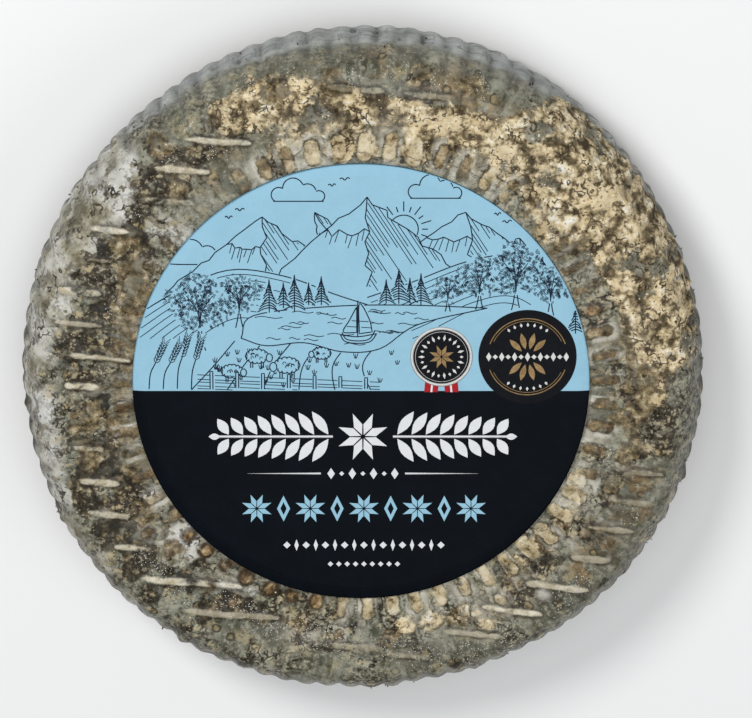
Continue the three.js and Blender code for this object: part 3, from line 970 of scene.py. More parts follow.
def paint_wall(paint, colour, streaks):
    """The side's neutral grey wall, partly its own colour and partly painted sheen where it faces the light,
    with fine lines in it, painted shade in the dark scallops of its grooves and a painted highlight as a pale
    line along its upper edge.
    """
    # The wall's light grey is partly the side's own colour and partly painted sheen on the side that faces
    # the light
    wall = paint.tones(90.0, 6.0, 0.55, WALL_TONES)
    wall = paint.cover(wall, (112, 115, 115), paint.where_noise(420.0, 0.44, 0.38, 4.0, streaks), 0.6)
    drawn_round = paint.vector("MULTIPLY", paint.place, (0.14, 0.14, 1.0))
    wall = paint.cover(wall, (92, 94, 93), paint.where_noise(600.0, 0.54, 0.62, 4.0, drawn_round), 0.55)
    side = paint.attribute("side")
    colour = paint.cover(colour, wall, side, 0.92)
    # Painted shade along the deepest line of each rib's groove
    scallop_shade = paint.times(paint.span(paint.attribute("rib_groove"), 0.72, 0.95), side)
    colour = paint.cover(colour, (72, 74, 71), paint.times(scallop_shade, paint.where_noise(60.0, 0.4, 0.52)), 0.85)
    # Painted highlight: a pale line along the wall's upper edge, where the shoulder catches the light
    line = paint.span(paint.math("ABSOLUTE", paint.less(side, 0.5)), 0.3, 0.1)
    return paint.cover(colour, (184, 187, 184), paint.times(line, paint.where_noise(45.0, 0.4, 0.5)), 0.7)


def paint_milk(paint, colour):
    """Smooth milky bloom with soft stains and a few dark hooked lines."""
    level = paint.plus(paint.attribute("pale_field"), paint.times(paint.attribute("swell"), 0.2))
    milk = paint.ragged(level, 80.0, 1.2, 0.5, 0.55)
    colour = paint.cover(colour, paint.tones(85.0, 5.0, 0.58, MILK_TONES), milk, 0.93)
    stains = paint.times(paint.where_noise(140.0, 0.54, 0.6, 5.0), milk)
    colour = paint.cover(colour, paint.mottling(300.0, (62, 54, 34), (126, 116, 88)), stains, 0.75)
    hooks = paint.times(paint.cracks(190.0, 0.02), paint.where_noise(95.0, 0.45, 0.49))
    dots = paint.span(paint.noise(paint.place, 420.0, 1.0), 0.66, 0.7)
    colour = paint.cover(colour, (58, 50, 32), paint.times(dots, milk), 0.8)
    return paint.cover(colour, (34, 27, 15), paint.times(hooks, milk), 0.95), milk


def paint_mould(paint, colour, clear, height, edge):
    """Dark blotches of mould, with small olive and tan lumps that stand out of them, and painted shade in the
    near-black gaps between the lumps.
    """
    level = paint.times(paint.attribute("dark_field"), 0.42)
    level = paint.less(level, paint.times(paint.attribute("lump"), 0.1))
    level = paint.less(level, paint.span(clear, 1.0, 0.1, 0.0, 0.6))
    mould = paint.ragged(level, 115.0, 2.3, 0.2, 0.2)
    film = paint.tones(120.0, 4.0, 0.5, MOULD_FILM_TONES)
    # The lumps' tones follow their height: painted shade in the gaps, painted highlight on the tops
    tone = paint.shade_by_height(height, MOULD_SHADED_LEVELS)
    tone = paint.cover(tone, film, paint.where_noise(75.0, 0.54, 0.62, 4.0), 0.85)
    tone = paint.cover(tone, (24, 18, 9), paint.times(edge, paint.where_noise(160.0, 0.44, 0.54)), 0.85)
    return paint.cover(colour, tone, mould, 0.93), mould


def paint_wrinkles(paint, colour, wriggles):
    """Brown skin drawn into wrinkles, with dark lines nested between small pale grains."""
    place = paint.ragged(paint.attribute("wrinkle_field"), 110.0, 2.0, 0.5, 0.15)
    tone = paint.tones(330.0, 5.0, 0.66, WRINKLE_TONES)
    tone = paint.cover(tone, (112, 108, 92), paint.where_noise(130.0, 0.53, 0.58, 5.0), 0.8)
    tone = paint.cover(tone, (26, 19, 9), wriggles, 0.95)
    return paint.cover(colour, tone, place, 0.85)


def paint_grains(paint, colour, clear, height, wriggles, specks):
    """Wrinkled grains with dark wriggles between them, wherever the film isn't smooth; their high tops get a
    painted highlight and their low gaps painted shade.
    """
    grainy = paint.times(paint.where_noise(75.0, 0.4, 0.54), clear)
    # Painted highlight on the grains' tops and painted shade in the gaps between them
    colour = paint.cover(colour, (184, 170, 136), paint.times(paint.span(height, 0.54, 0.66), grainy), 0.85)
    colour = paint.cover(colour, (60, 51, 35), paint.times(paint.span(height, 0.5, 0.4), grainy), 0.75)
    colour = paint.cover(colour, (196, 188, 164), paint.times(paint.span(specks, 0.44, 0.36), grainy), 0.5)
    colour = paint.cover(colour, (34, 27, 15), paint.times(paint.span(specks, 0.6, 0.66), clear), 0.75)
    return paint.cover(colour, (30, 23, 12), paint.times(wriggles, grainy), 0.9)


def paint_crust(paint, colour, height, wriggles, specks):
    """Crumbly crust: brown gaps, tan slopes and cream tops, with dark wriggles and grey film in places; the
    tones follow the lumps' height, with painted shade in the gaps and painted highlights and glints on the
    tops.
    """
    crust = paint.ragged(paint.attribute("crust_field"), 130.0, 1.9, 0.46, 0.2)
    level = paint.plus(height, paint.times(paint.attribute("lump"), 0.03))
    # From here the tones follow the lumps' height: painted shade in the gaps, painted highlight on the tops
    peach = paint.times(paint.where_noise(90.0, 0.46, 0.6, 4.0), paint.span(level, 0.42, 0.54))
    tone = paint.cover(paint.shade_by_height(level, CRUST_SHADED_LEVELS), (233, 208, 160), peach, 0.5)
    smooth_top = paint.mottling(160.0, (206, 184, 142), (242, 224, 186))
    tone = paint.cover(tone, smooth_top, paint.where_noise(85.0, 0.56, 0.6, 6.0), 0.85)
    film = paint.tones(200.0, 5.0, 0.5, CRUST_FILM_TONES)
    tone = paint.cover(tone, film, paint.where_noise(62.0, 0.58, 0.62, 7.0), 0.85)
    glints = paint.times(paint.span(specks, 0.38, 0.32), paint.span(level, 0.45, 0.55))
    tone = paint.cover(tone, (248, 244, 232), glints, 0.8)
    tone = paint.cover(tone, (54, 43, 27), paint.times(wriggles, paint.where_noise(120.0, 0.38, 0.46)), 0.9)
    tone = paint.cover(tone, (56, 43, 26), paint.span(specks, 0.61, 0.66), 0.75)
    return paint.mix(crust, colour, tone), crust


def paint_slots(paint, colour, streaks):
    """Marks of the mould's slots: brown, or cream like teeth, some shrunk to spots in dark rings."""
    show, halo = paint.attribute("slot_show"), paint.attribute("slot_halo")
    wobble = paint.times(paint.less(paint.noise(paint.place, 260.0, 6.0, 0.65), 0.5), 3.2)
    gap = paint.plus(paint.math("MINIMUM", paint.attribute("slot_gap"), paint.attribute("dot_gap")), wobble)
    creamy = paint.span(paint.attribute("slot_tone"), 0.2, 0.8)
    gap = paint.less(gap, paint.times(creamy, 0.5))
    around = paint.times(paint.span(gap, 1.5, 0.4), paint.times(halo, paint.where_noise(260.0, 0.36, 0.5)))
    colour = paint.cover(colour, paint.mottling(400.0, (44, 34, 22), (84, 68, 46)), around, 0.85)
    smear = paint.times(paint.span(gap, 3.6, 0.8), paint.span(gap, -0.5, 0.3))
    smear = paint.times(paint.times(smear, show), paint.span(halo, 0.4, 0.1))
    smear = paint.times(smear, paint.where_noise(150.0, 0.44, 0.56, 5.0, streaks))
    colour = paint.cover(colour, paint.tones(260.0, 4.0, 0.55, SLOT_FILM_TONES), smear, 0.85)
    brown = paint.tones(230.0, 6.0, 0.65, BROWN_SLOT_TONES)
    cream = paint.tones(230.0, 6.0, 0.65, CREAM_SLOT_TONES)
    spots = paint.tones(420.0, 4.0, 0.6, SPOT_TONES)
    tone = paint.mix(paint.span(halo, 0.3, 0.6), paint.mix(creamy, brown, cream), spots)
    show = paint.times(show, paint.where_noise(85.0, 0.34, 0.46, 4.0))
    core = paint.times(paint.span(gap, 0.1, -0.8), show)
    colour = paint.cover(colour, tone, core, 0.92)
    foot = paint.times(paint.span(gap, 0.6, 0.05), paint.span(gap, -0.6, -0.15))
    foot = paint.times(foot, paint.where_noise(190.0, 0.44, 0.56))
    return paint.cover(colour, (54, 44, 28), paint.times(foot, show), 0.65)


def paint_ribs(paint, colour, milk, crust):
    """Ribs of the side with painted shade along their grooves, dark tones of painted shade on the side's
    lower band, and a dark broken line of painted shade where the side turns under.
    """
    # Painted shade along the ribs' grooves, weaker in the milky bloom
    dark = paint.times(paint.attribute("rib_groove"), paint.where_noise(90.0, 0.4, 0.58, 4.0))
    colour = paint.cover(colour, (54, 54, 45), paint.times(dark, paint.span(milk, 1.0, 0.0, 0.45, 1.0)), 0.75)
    # Painted shade over the side's lower band, away from the wall's grey
    away = paint.span(paint.attribute("side"), 0.6, 0.1)
    under = paint.times(paint.times(paint.attribute("low"), away), paint.span(milk, 1.0, 0.2, 0.15, 1.0))
    under = paint.times(under, paint.less(1.0, crust))
    under = paint.times(under, paint.where_noise(110.0, 0.34, 0.46, 6.0))
    colour = paint.cover(colour, paint.tones(180.0, 7.0, 0.66, UNDER_SHADE_TONES), under, 0.85)
    # Painted shade: a dark broken line where the side turns under
    edge = paint.span(paint.less(paint.attribute("turned_under"), paint.times(milk, 0.55)), 0.0, 0.6)
    edge = paint.times(edge, paint.where_noise(150.0, 0.42, 0.54, 5.0))
    return paint.cover(colour, (42, 40, 31), edge, 0.7)


def paint_bars(paint, colour):
    """Bars of the rack: smooth and pale, shaded along both sides."""
    wobble = paint.times(paint.less(paint.noise(paint.place, 170.0, 4.0, 0.6), 0.5), 2.2)
    gap = paint.plus(paint.attribute("bar_gap"), wobble)
    show = paint.attribute("bar_show")
    smear = paint.times(paint.span(gap, 2.8, 0.2), paint.where_noise(80.0, 0.5, 0.64, 4.0))
    colour = paint.cover(colour, (170, 164, 146), smear, 0.7)
    beside = paint.times(paint.span(gap, 1.9, 0.4), paint.span(gap, -0.1, 0.3))
    colour = paint.cover(colour, (44, 37, 25), paint.times(beside, paint.where_noise(140.0, 0.36, 0.56)), 0.7)
    bar = paint.times(paint.span(gap, 0.45, -0.35), paint.times(show, paint.where_noise(110.0, 0.34, 0.48)))
    faint = paint.mottling(300.0, (132, 120, 94), (184, 174, 150))
    clear = paint.mottling(260.0, (182, 170, 140), (230, 223, 204))
    return paint.cover(colour, paint.mix(paint.span(show, 0.5, 0.9), faint, clear), bar, 0.95), bar


def rind_material():
    """Grey-green skin with a moist film, breaking into tan crust, milky bloom and dark mould."""
    paint = Paint("natural_rind")
    streaks = streak_vector(paint)
    colour = paint_wall(paint, paint_skin(paint, streaks), streaks)
    colour, milk = paint_milk(paint, colour)
    side = paint.times(paint.attribute("side"), 0.35)
    filmed = paint.plus(paint.times(paint.attribute("film_field"), 0.45), side)
    clear = paint.span(paint.plus(filmed, paint.times(milk, 0.25)), 0.05, 0.4, 1.0, 0.1)
    edge, height = paint.lumps(300.0, 0.004)
    crust_height = paint.lumps(215.0, 0.005)[1]
    wriggles = paint.cracks(230.0, 0.021, 5.0)
    specks = paint.noise(paint.place, 900.0, 2.0, 0.5)
    colour, mould = paint_mould(paint, colour, clear, height, edge)
    colour = paint_grains(paint, colour, clear, height, wriggles, specks)
    colour, crust = paint_crust(paint, colour, crust_height, wriggles, specks)
    colour = paint_wrinkles(paint, colour, paint.cracks(210.0, 0.03, 4.0))
    colour = paint_slots(paint, colour, streaks)
    colour = paint_ribs(paint, colour, milk, crust)
    colour, bar = paint_bars(paint, colour)
    dry = paint.math("MAXIMUM", crust, paint.times(mould, 0.4))
    paint.link(paint.span(dry, 0.0, 1.0, 0.45, 0.75), paint.finish.inputs["Roughness"])
    wet = paint.times(paint.span(dry, 1.0, 0.0), paint.span(paint.attribute("low"), 0.5, 0.0))
    paint.link(paint.times(wet, 0.22), paint.finish.inputs["Coat Weight"])
    sink = paint.times(wriggles, paint.times(clear, -0.5))
    sink = paint.plus(sink, paint.plus(paint.times(mould, -0.5), paint.times(bar, 0.5)))
    sink = paint.plus(sink, paint.times(paint.times(crust_height, dry), 3.0))
    paint.grain(1200.0, paint.plus(0.2, paint.times(dry, 0.8)), sink)
    return paint.surface(colour, Coat_Roughness=0.15, Specular_IOR_Level=0.12)


# Beads of moisture painted near white as highlights, dry crumbs and hairs of mould


def bead_material():
    """Bright wet beads painted near white: painted highlights that stand in for the glints of moisture."""
    paint = Paint("moisture")
    colour = paint.mottling(900.0, (206, 206, 198), (244, 244, 240))
    return paint.surface(colour, Roughness=0.12, Coat_Weight=0.6)


def crumb_material():
    """Dry crumbs, cream to brown."""
    paint = Paint("dry_crumbs")
    paint.grain(2600.0, 0.4)
    return paint.surface(paint.tones(420.0, 3.0, 0.6, CRUMB_TONES), Roughness=0.8, Specular_IOR_Level=0.15)


def tuft_material():
    """Dull dark mould hairs."""
    paint = Paint("mould_hairs")
    colour = paint.mottling(260.0, (44, 40, 28), (104, 98, 76))
    return paint.surface(colour, Roughness=0.9, Specular_IOR_Level=0.1)


def scatter_tree(shape, field_name, density, smallest, largest, turned):
    """Geometry nodes that strew a small mesh over the faces where a field is high."""
    tree = bpy.data.node_groups.new("strew", "GeometryNodeTree")
    tree.interface.new_socket(name="Geometry", in_out="INPUT", socket_type="NodeSocketGeometry")
    tree.interface.new_socket(name="Geometry", in_out="OUTPUT", socket_type="NodeSocketGeometry")
    shader = Shader(tree)
    source, result = shader.node("NodeGroupInput"), shader.node("NodeGroupOutput")
    field = shader.node("GeometryNodeInputNamedAttribute", data_type="FLOAT")
    field.inputs["Name"].default_value = field_name
    amount = shader.math("MULTIPLY", shader.math("POWER", field.outputs["Attribute"], 1.6), density)
    strewn = shader.node("GeometryNodeDistributePointsOnFaces", distribute_method="RANDOM")
    shader.link(source.outputs["Geometry"], strewn.inputs["Mesh"])
    shader.link(amount, strewn.inputs["Density"])
    strewn.inputs["Seed"].default_value = 4
    size = shader.node("FunctionNodeRandomValue", data_type="FLOAT")
    floats = [socket for socket in size.inputs if socket.type == "VALUE"]
    floats[0].default_value, floats[1].default_value = smallest, largest
    size.inputs["Seed"].default_value = 9
    grain = shader.node("GeometryNodeObjectInfo")
    grain.inputs["Object"].default_value = shape
    placed = shader.node("GeometryNodeInstanceOnPoints")
    shader.link(strewn.outputs["Points"], placed.inputs["Points"])
    shader.link(grain.outputs["Geometry"], placed.inputs["Instance"])
    shader.link([socket for socket in size.outputs if socket.type == "VALUE"][0], placed.inputs["Scale"])
    if turned:
        turn = shader.node("FunctionNodeRandomValue", data_type="FLOAT_VECTOR")
        vectors = [socket for socket in turn.inputs if socket.type == "VECTOR"]
        vectors[0].default_value, vectors[1].default_value = (0, 0, 0), (6.28, 6.28, 6.28)
        turn.inputs["Seed"].default_value = 5
        turns = [socket for socket in turn.outputs if socket.type == "VECTOR"]
        shader.link(turns[0], placed.inputs["Rotation"])
    else:
        shader.link(strewn.outputs["Rotation"], placed.inputs["Rotation"])
    real = shader.node("GeometryNodeRealizeInstances")
    shader.link(placed.outputs["Instances"], real.inputs["Geometry"])
    shader.link(real.outputs["Geometry"], result.inputs["Geometry"])
    return tree


def strew(rind, name, shape, material, *how):
    """A piece of many copies of a small shape, strewn over the rind."""
    make_active(rind)
    bpy.ops.object.duplicate()
    piece = newest(name)
    modifier = piece.modifiers.new("strew", "NODES")
    modifier.node_group = scatter_tree(shape, *how)
    apply_all(piece)
    bpy.data.objects.remove(shape)
    piece.data.materials.clear()
    piece.data.materials.append(material)
    for face in piece.data.polygons:
        face.material_index = 0
    finish_piece(piece, "rind")


def bead_shape():
    deselect_all()
    bpy.ops.mesh.primitive_uv_sphere_add(segments=7, ring_count=4, radius=1.0)
    shape = newest("bead")
    shape.scale = (MM, MM, 0.7 * MM)
    settle(shape)
    bpy.ops.object.shade_smooth()
    return shape


def crumb_shape():
    """An uneven little lump of dry crust."""
    deselect_all()
    bpy.ops.mesh.primitive_ico_sphere_add(subdivisions=2, radius=MM)
    shape = newest("crumb")
    place = positions(shape)
    swell = 1 + 0.35 * noise_field(place / MM, 1.1, 2, 41)
    move_points(shape, place * swell[:, None] * (1, 0.8, 0.65))
    bpy.ops.object.shade_smooth()
    return shape


def tuft_shape():
    """A few short hairs of mould that lean apart from one root."""
    hairs = []
    for i in range(5):
        deselect_all()
        turn = 2 * math.pi * i / 5
        lean = 0.25 + 0.12 * (i % 3)
        bpy.ops.mesh.primitive_cone_add(vertices=4, radius1=0.16 * MM, depth=1.3 * MM)
        hair = newest("hair")
        hair.rotation_euler = (lean * math.sin(turn), lean * math.cos(turn), turn)
        hair.location = (0.2 * MM * math.cos(turn), 0.2 * MM * math.sin(turn), (0.3 + 0.08 * i) * MM)
        settle(hair)
        hairs.append(hair)
    for hair in hairs:
        hair.select_set(True)
    bpy.ops.object.join()
    return newest("tuft")


def strew_rind(rind):
    strew(rind, "moisture_beads", bead_shape(), bead_material(), "bead_field", *BEADS)
    strew(rind, "crust_crumbs", crumb_shape(), crumb_material(), "crumb_field", *CRUMBS)
    strew(rind, "mould_tufts", tuft_shape(), tuft_material(), "tuft_field", *TUFTS)


# Label: pen work


def subdivide(points, step=0.8):
    points = np.asarray(points, float)
    parts = [points[:1]]
    for start, end in zip(points, points[1:]):
        count = max(1, math.ceil(np.hypot(*(end - start)) / step))
        parts.append(start + (end - start) * (np.arange(1, count + 1) / count)[:, None])
    return np.concatenate(parts)


def curved(points, steps=6):
    """A smooth line through a few points."""
    points = np.asarray(points, float)
    first, last = 2 * points[:1] - points[1:2], 2 * points[-1:] - points[-2:-1]
    padded = np.concatenate([first, points, last])
    share = np.arange(steps)[:, None] / steps
    parts = []
    for before, start, end, after in zip(padded, padded[1:], padded[2:], padded[3:]):
        square = (2 * before - 5 * start + 4 * end - after) * share**2
        cube = (3 * start - before - 3 * end + after) * share**3
        parts.append(start + 0.5 * ((end - before) * share + square + cube))
    return np.concatenate([*parts, points[-1:]])


def ring(x, y, radius, count=48, start=0.0, end=2 * math.pi):
    turns = np.linspace(start, end, count + 1)
    return np.stack([x + radius * np.cos(turns), y + radius * np.sin(turns)], 1)


def leaf(x, y, length, width, angle, count=3):
    """The closed outline of a pointed leaf, from its foot."""
    share = np.linspace(0, 1, count + 2)
    half = width / 2 * np.sin(np.pi * share)
    along = np.concatenate([share, share[::-1][1:]]) * length
    aside = np.concatenate([half, -half[::-1][1:]])
    cos, sin = math.cos(angle), math.sin(angle)
    return np.stack([x + along * cos - aside * sin, y + along * sin + aside * cos], 1)


def within(points, outline):
    """Which points lie inside a closed outline."""
    (x, y), (x0, y0) = points.T[:, :, None], outline.T
    x1, y1 = np.roll(x0, -1), np.roll(y0, -1)
    slope = (x1 - x0) / np.where(y1 == y0, 1, y1 - y0)
    crossed = ((y0 > y) != (y1 > y)) & (x < slope * (y - y0) + x0)
    return crossed.sum(axis=1) % 2 == 1


class Pen:
    """Strokes on the label's light field, from near things to far ones: each hides what comes after."""

    def __init__(self):
        self.strokes = []
        self.covers = []

    def free(self, points):
        keep = (np.hypot(*points.T) < LABEL_RADIUS - 0.4) & (points[:, 1] > FIELD_EDGE + 0.3)
        for x, y, radius in (LARGE_BADGE, SMALL_BADGE):
            keep &= np.hypot(points[:, 0] - x, points[:, 1] - y) > radius + 0.2
        low, high = points.min(axis=0), points.max(axis=0)
        for cover in self.covers:
            if (cover.min(axis=0) < high).all() and (cover.max(axis=0) > low).all():
                keep &= ~within(points, cover)
        return keep

    def draw(self, points, width=PEN, inside=None, cut=1.0):
        """Draws a line where it is free, each run of it shortened to the share that cut says."""
        points = subdivide(points)
        keep = self.free(points)
        if inside is not None:
            keep &= within(points, inside)
        edges = np.flatnonzero(np.diff(np.concatenate([[0], keep.astype(int), [0]])))
        for start, end in zip(edges[::2], edges[1::2]):
            end = start + int((end - start) * cut + 0.5)
            if end - start > 1:
                self.strokes.append((points[start:end], width))

    def cover(self, outline):
        self.covers.append(np.asarray(outline, float))

    def hatch(self, outline, angle, spacing, random, shortest=0.5):
        """Parallel strokes over an outline, each with a length of its own."""
        outline = np.asarray(outline, float)
        middle = outline.mean(axis=0)
        size = np.hypot(*(outline - middle).T).max()
        along = np.array([math.cos(angle), math.sin(angle)])
        across = np.array([-along[1], along[0]])
        for off in np.arange(-size, size, spacing):
            start = middle + across * (off + 0.5 * spacing * random()) - along * size
            cut = shortest + (1 - shortest) * random()
            self.draw([start, start + 2 * size * along], FINE_PEN, outline, cut)


def jagged(random, start, end, count, rough):
    """A broken line between two points."""
    start, end = np.array(start, float), np.array(end, float)
    across = np.array([start[1] - end[1], end[0] - start[0]]) / np.hypot(*(end - start))
    points = [start]
    for i in range(1, count):
        share = (i + 0.6 * (random() - 0.5)) / count
        points.append(start + (end - start) * share + across * rough * (random() - 0.5))
    return np.array([*points, end])


def draw_mountain(pen, random, left, peak, right):
    """A peak with snow on its lit side and hatching on the other."""
    west = jagged(random, left, peak, 11, 1.8)
    east = jagged(random, peak, right, 11, 1.8)
    foot = (0.45 * left[0] + 0.55 * right[0], min(left[1], right[1]) - 4)
    ridge = jagged(random, peak, foot, 9, 3.2)
    for line in (west, east, ridge[:-1]):
        pen.draw(line)
    shade = np.concatenate([ridge[::-1], east[1:]])
    pen.hatch(shade, -1.0, 1.15, random, 0.3)
    height = peak[1] - foot[1]
    snow_left = west[np.argmin(np.abs(west[:, 1] - (peak[1] - 0.34 * height)))]
    snow_right = ridge[np.argmin(np.abs(ridge[:, 1] - (peak[1] - 0.3 * height)))]
    snow = jagged(random, snow_left, snow_right, 8, 2.6)
    pen.draw(snow)
    for point in snow[1:-1]:
        pen.draw([point, point - (0.6 + random(), 2.5 + 2 * random())], FINE_PEN)
    pen.cover(np.concatenate([west, east[1:], [foot]]))


def draw_spruce(pen, random, x, y, height):
    """A trunk with pairs of drooping boughs, wider towards the foot."""
    rows = int(height / 0.95)
    for i in range(rows):
        share = (i + 0.6) / rows
        top = y + height * (1 - 0.88 * share)
        for side in (-1, 1):
            reach = side * 0.32 * height * share * (0.75 + 0.5 * random())
            pen.draw(curved([(x, top), (x + 0.5 * reach, top - 0.5), (x + reach, top - 1.5)], 2))
    pen.draw([(x, y + height), (x, y)])
    half = 0.3 * height
    pen.cover([(x, y + height), (x - half, y + 0.1 * height), (x, y), (x + half, y + 0.1 * height)])


def draw_leafy_tree(pen, random, x, y, crown):
    """A round crown of small leaves over a forked trunk."""
    for i in range(int(5.2 * crown * crown)):
        turn, reach = 2 * math.pi * random(), crown * random() ** 0.56
        reach *= 1 + 0.1 * math.sin(5 * turn + x)
        centre_x, centre_y = x + 1.05 * reach * math.cos(turn), y + 0.95 * reach * math.sin(turn)
        pen.draw(leaf(centre_x, centre_y, 0.9 + 0.6 * random(), 0.5, 2 * math.pi * random(), 1), HAIR_PEN)
    for i in range(4):
        turn = math.pi * (0.16 + 0.68 * i / 3)
        tip = (x + 0.5 * crown * math.cos(turn), y + 0.45 * crown * math.sin(turn))
        pen.draw(curved([(x, y - 0.9 * crown), (x + 0.2 * (tip[0] - x), y - 0.3 * crown), tip], 3), FINE_PEN)
    pen.cover(ring(x, y, 0.97 * crown, 20))
    for side in (-1, 1):
        foot, waist = (x + side * 0.18 * crown, y - 1.7 * crown), (x + side * 0.06 * crown, y - 1.1 * crown)
        pen.draw(curved([foot, waist, (x, y)], 3))


def draw_sheep(pen, random, x, y, size, facing):
    """A woolly body of small curls on four legs, its head down to the grass."""
    head = ring(x + facing * 1.15 * size, y - 0.15 * size, 0.3 * size, 10)
    head[:, 1] = y - 0.15 * size + 1.35 * (head[:, 1] - y + 0.15 * size)
    pen.draw(head)
    pen.cover(head)
    for i in range(14):
        turn = 2 * math.pi * i / 14
        place = (x + 0.85 * size * math.cos(turn), y + 0.5 * size * math.sin(turn))
        pen.draw(ring(*place, 0.24 * size, 5, turn - 1.4, turn + 1.4))
    for i in range(6):
        place = (x + size * (random() - 0.5), y + 0.5 * size * (random() - 0.5))
        pen.draw(ring(*place, 0.14 * size, 4, 0, 4), FINE_PEN)
    body = ring(x, y, 1.0, 16)
    body = (body - (x, y)) * (1.05 * size, 0.7 * size) + (x, y)
    for leg in (-0.6, -0.4, 0.4, 0.6):
        pen.draw([(x + leg * size, y - 0.62 * size), (x + leg * size, y - 1.15 * size)])
    pen.cover(body)


def draw_barley(pen, x, y, height, lean):
    """A bending stem with an ear of grains and long awns."""
    top = np.array([x + lean, y + height])
    pen.draw(curved([(x, y), (x + 0.25 * lean, y + 0.6 * height), top], 5))
    tilt = math.atan2(0.4 * height, 0.75 * lean)
    along = np.array([math.cos(tilt), math.sin(tilt)])
    for i in range(6):
        foot = top + along * 1.05 * i
        for side in (-1, 1):
            awn = np.array([math.cos(tilt + side * 0.3), math.sin(tilt + side * 0.3)])
            pen.draw(leaf(*foot, 1.9, 0.8, tilt + side * 0.5), FINE_PEN)
            pen.draw([foot + along * 1.6, foot + 4.2 * awn], HAIR_PEN)
    pen.cover(leaf(*(top - along), 10.5, 3.6, tilt))


def draw_boat(pen, x, y):
    """A small open boat with a mast and two sails."""
    hull = curved([(x - 5.5, y + 1.6), (x - 4, y - 0.6), (x, y - 1.2), (x + 4, y - 0.6), (x + 6, y + 2)], 4)
    rail = curved([(x + 6, y + 2), (x, y + 1), (x - 5.5, y + 1.6)], 4)
    for line in (hull, rail, hull * (0.9, 1) + (0.1 * x, 0.8)):
        pen.draw(line)
    sail = curved([(x + 0.5, y + 2), (x + 0.5, y + 12), (x + 3.6, y + 7), (x + 4.6, y + 2.6)], 4)
    small_sail = curved([(x - 0.3, y + 11), (x - 2.6, y + 6.5), (x - 4.6, y + 2.6), (x - 0.3, y + 2.4)], 4)
    for outline in (sail, small_sail):
        pen.draw([*outline, outline[0]])
        for level in (4.5, 6.5):
            pen.draw([(x - 5, y + level), (x + 5, y + level - 0.6)], FINE_PEN, outline)
        pen.cover(outline)
    pen.draw([(x, y + 1), (x, y + 13)])
    pen.cover(np.concatenate([hull, rail[1:]]))


def draw_cloud(pen, x, y, size):
    """A few round puffs over a straight foot."""
    puffs = []
    for off_x, off_y, radius in CLOUD_PUFFS:
        puffs.append(ring(x + off_x * size, y + off_y * size, radius * size, 24))
    foot, high = y - 0.4 * size, y + 2 * size
    left, right = x - 0.95 * size, x + 1.15 * size
    inner = np.array([(left, foot), (right, foot), (right, y - 0.12 * size), (left, y + 0.1 * size)])
    sky = np.array([(x - 2 * size, foot), (x + 2 * size, foot), (x + 2 * size, high), (x - 2 * size, high)])
    for puff in puffs:
        others = [other for other in puffs if other is not puff]
        pen.covers += [inner, *others]
        pen.draw(puff, inside=sky)
        del pen.covers[-len(puffs):]
    pen.draw([(x - 1.25 * size, foot), (x + 1.4 * size, foot)])
    for puff in puffs:
        pen.cover(puff)


def draw_fence(pen):
    """A row of posts with rails between them."""
    for i in range(7):
        x, y = -48 + 8.2 * i, 1.8 - 0.35 * i
        post = [(x, y - 3.4), (x, y + 2.6), (x + 0.9, y + 2.6), (x + 0.9, y - 3.4)]
        pen.draw(post)
        pen.cover(post)
    for level in (0, 0.9, 2.4, -2.2, -1.3):
        pen.draw([(-52, 0.9 + level), (6, -1.6 + level)], FINE_PEN)


def draw_waves(pen, random, shore):
    """Short wavy strokes on the water beyond the near shore."""
    for _ in range(46):
        x, y = -30 + 62 * random(), 12.5 + 12.5 * random()
        half = 1.5 + 3 * random()
        if y > np.interp(x, shore[:, 0], shore[:, 1]) + 0.8:
            wave = [(x - half, y), (x - half / 2, y + 0.35), (x, y), (x + half / 2, y - 0.3), (x + half, y)]
            pen.draw(curved(wave, 3), FINE_PEN)


def draw_meadow(pen, random, shore):
    """Furrows and tufts of grass on the near side of the lake."""
    for i in range(2, 8):
        pen.draw(curved([(-80 + 12 * i, -4), (-66 + 9.5 * i, 6), (-58 + 9 * i, 15 - 0.2 * i)], 6))
    for i in range(34):
        x, y = -50 + 64 * random(), -1 + 13 * random()
        for lean in (-0.7, 0, 0.8):
            pen.draw([(x + 0.3 * lean, y), (x + lean, y + 1.3 + 0.5 * random())], FINE_PEN)
    pen.cover(np.concatenate([[(-80, -10)], [(-80, 15)], shore[:30], [(20, -10)]]))


def draw_hill(pen, random, ridge):
    """A hill's ridge, with the furrows of its fields below it."""
    line = curved(ridge, 6)
    pen.draw(line)
    middle_x = line[:, 0].mean()
    for i in range(1, 9):
        lower = line - (0, 1.6 * i + 0.05 * i * i)
        lower[:, 0] = middle_x + (lower[:, 0] - middle_x) * (1 - 0.03 * i)
        pen.draw(lower[: int(len(lower) * (0.5 + 0.5 * random()))], FINE_PEN)
    pen.cover(np.concatenate([line, [(line[-1][0], -20), (line[0][0], -20)]]))


def draw_sun(pen, x, y, radius):
    """A disc with long and short rays."""
    pen.draw(ring(x, y, radius, 30))
    pen.cover(ring(x, y, radius + 0.6, 20))
    for i in range(20):
        turn = 2 * math.pi * i / 20
        direction = np.array([math.cos(turn), math.sin(turn)])
        reach = 4.5 if i % 2 else 3
        pen.draw([(x, y) + direction * (radius + 1.2), (x, y) + direction * (radius + reach)])


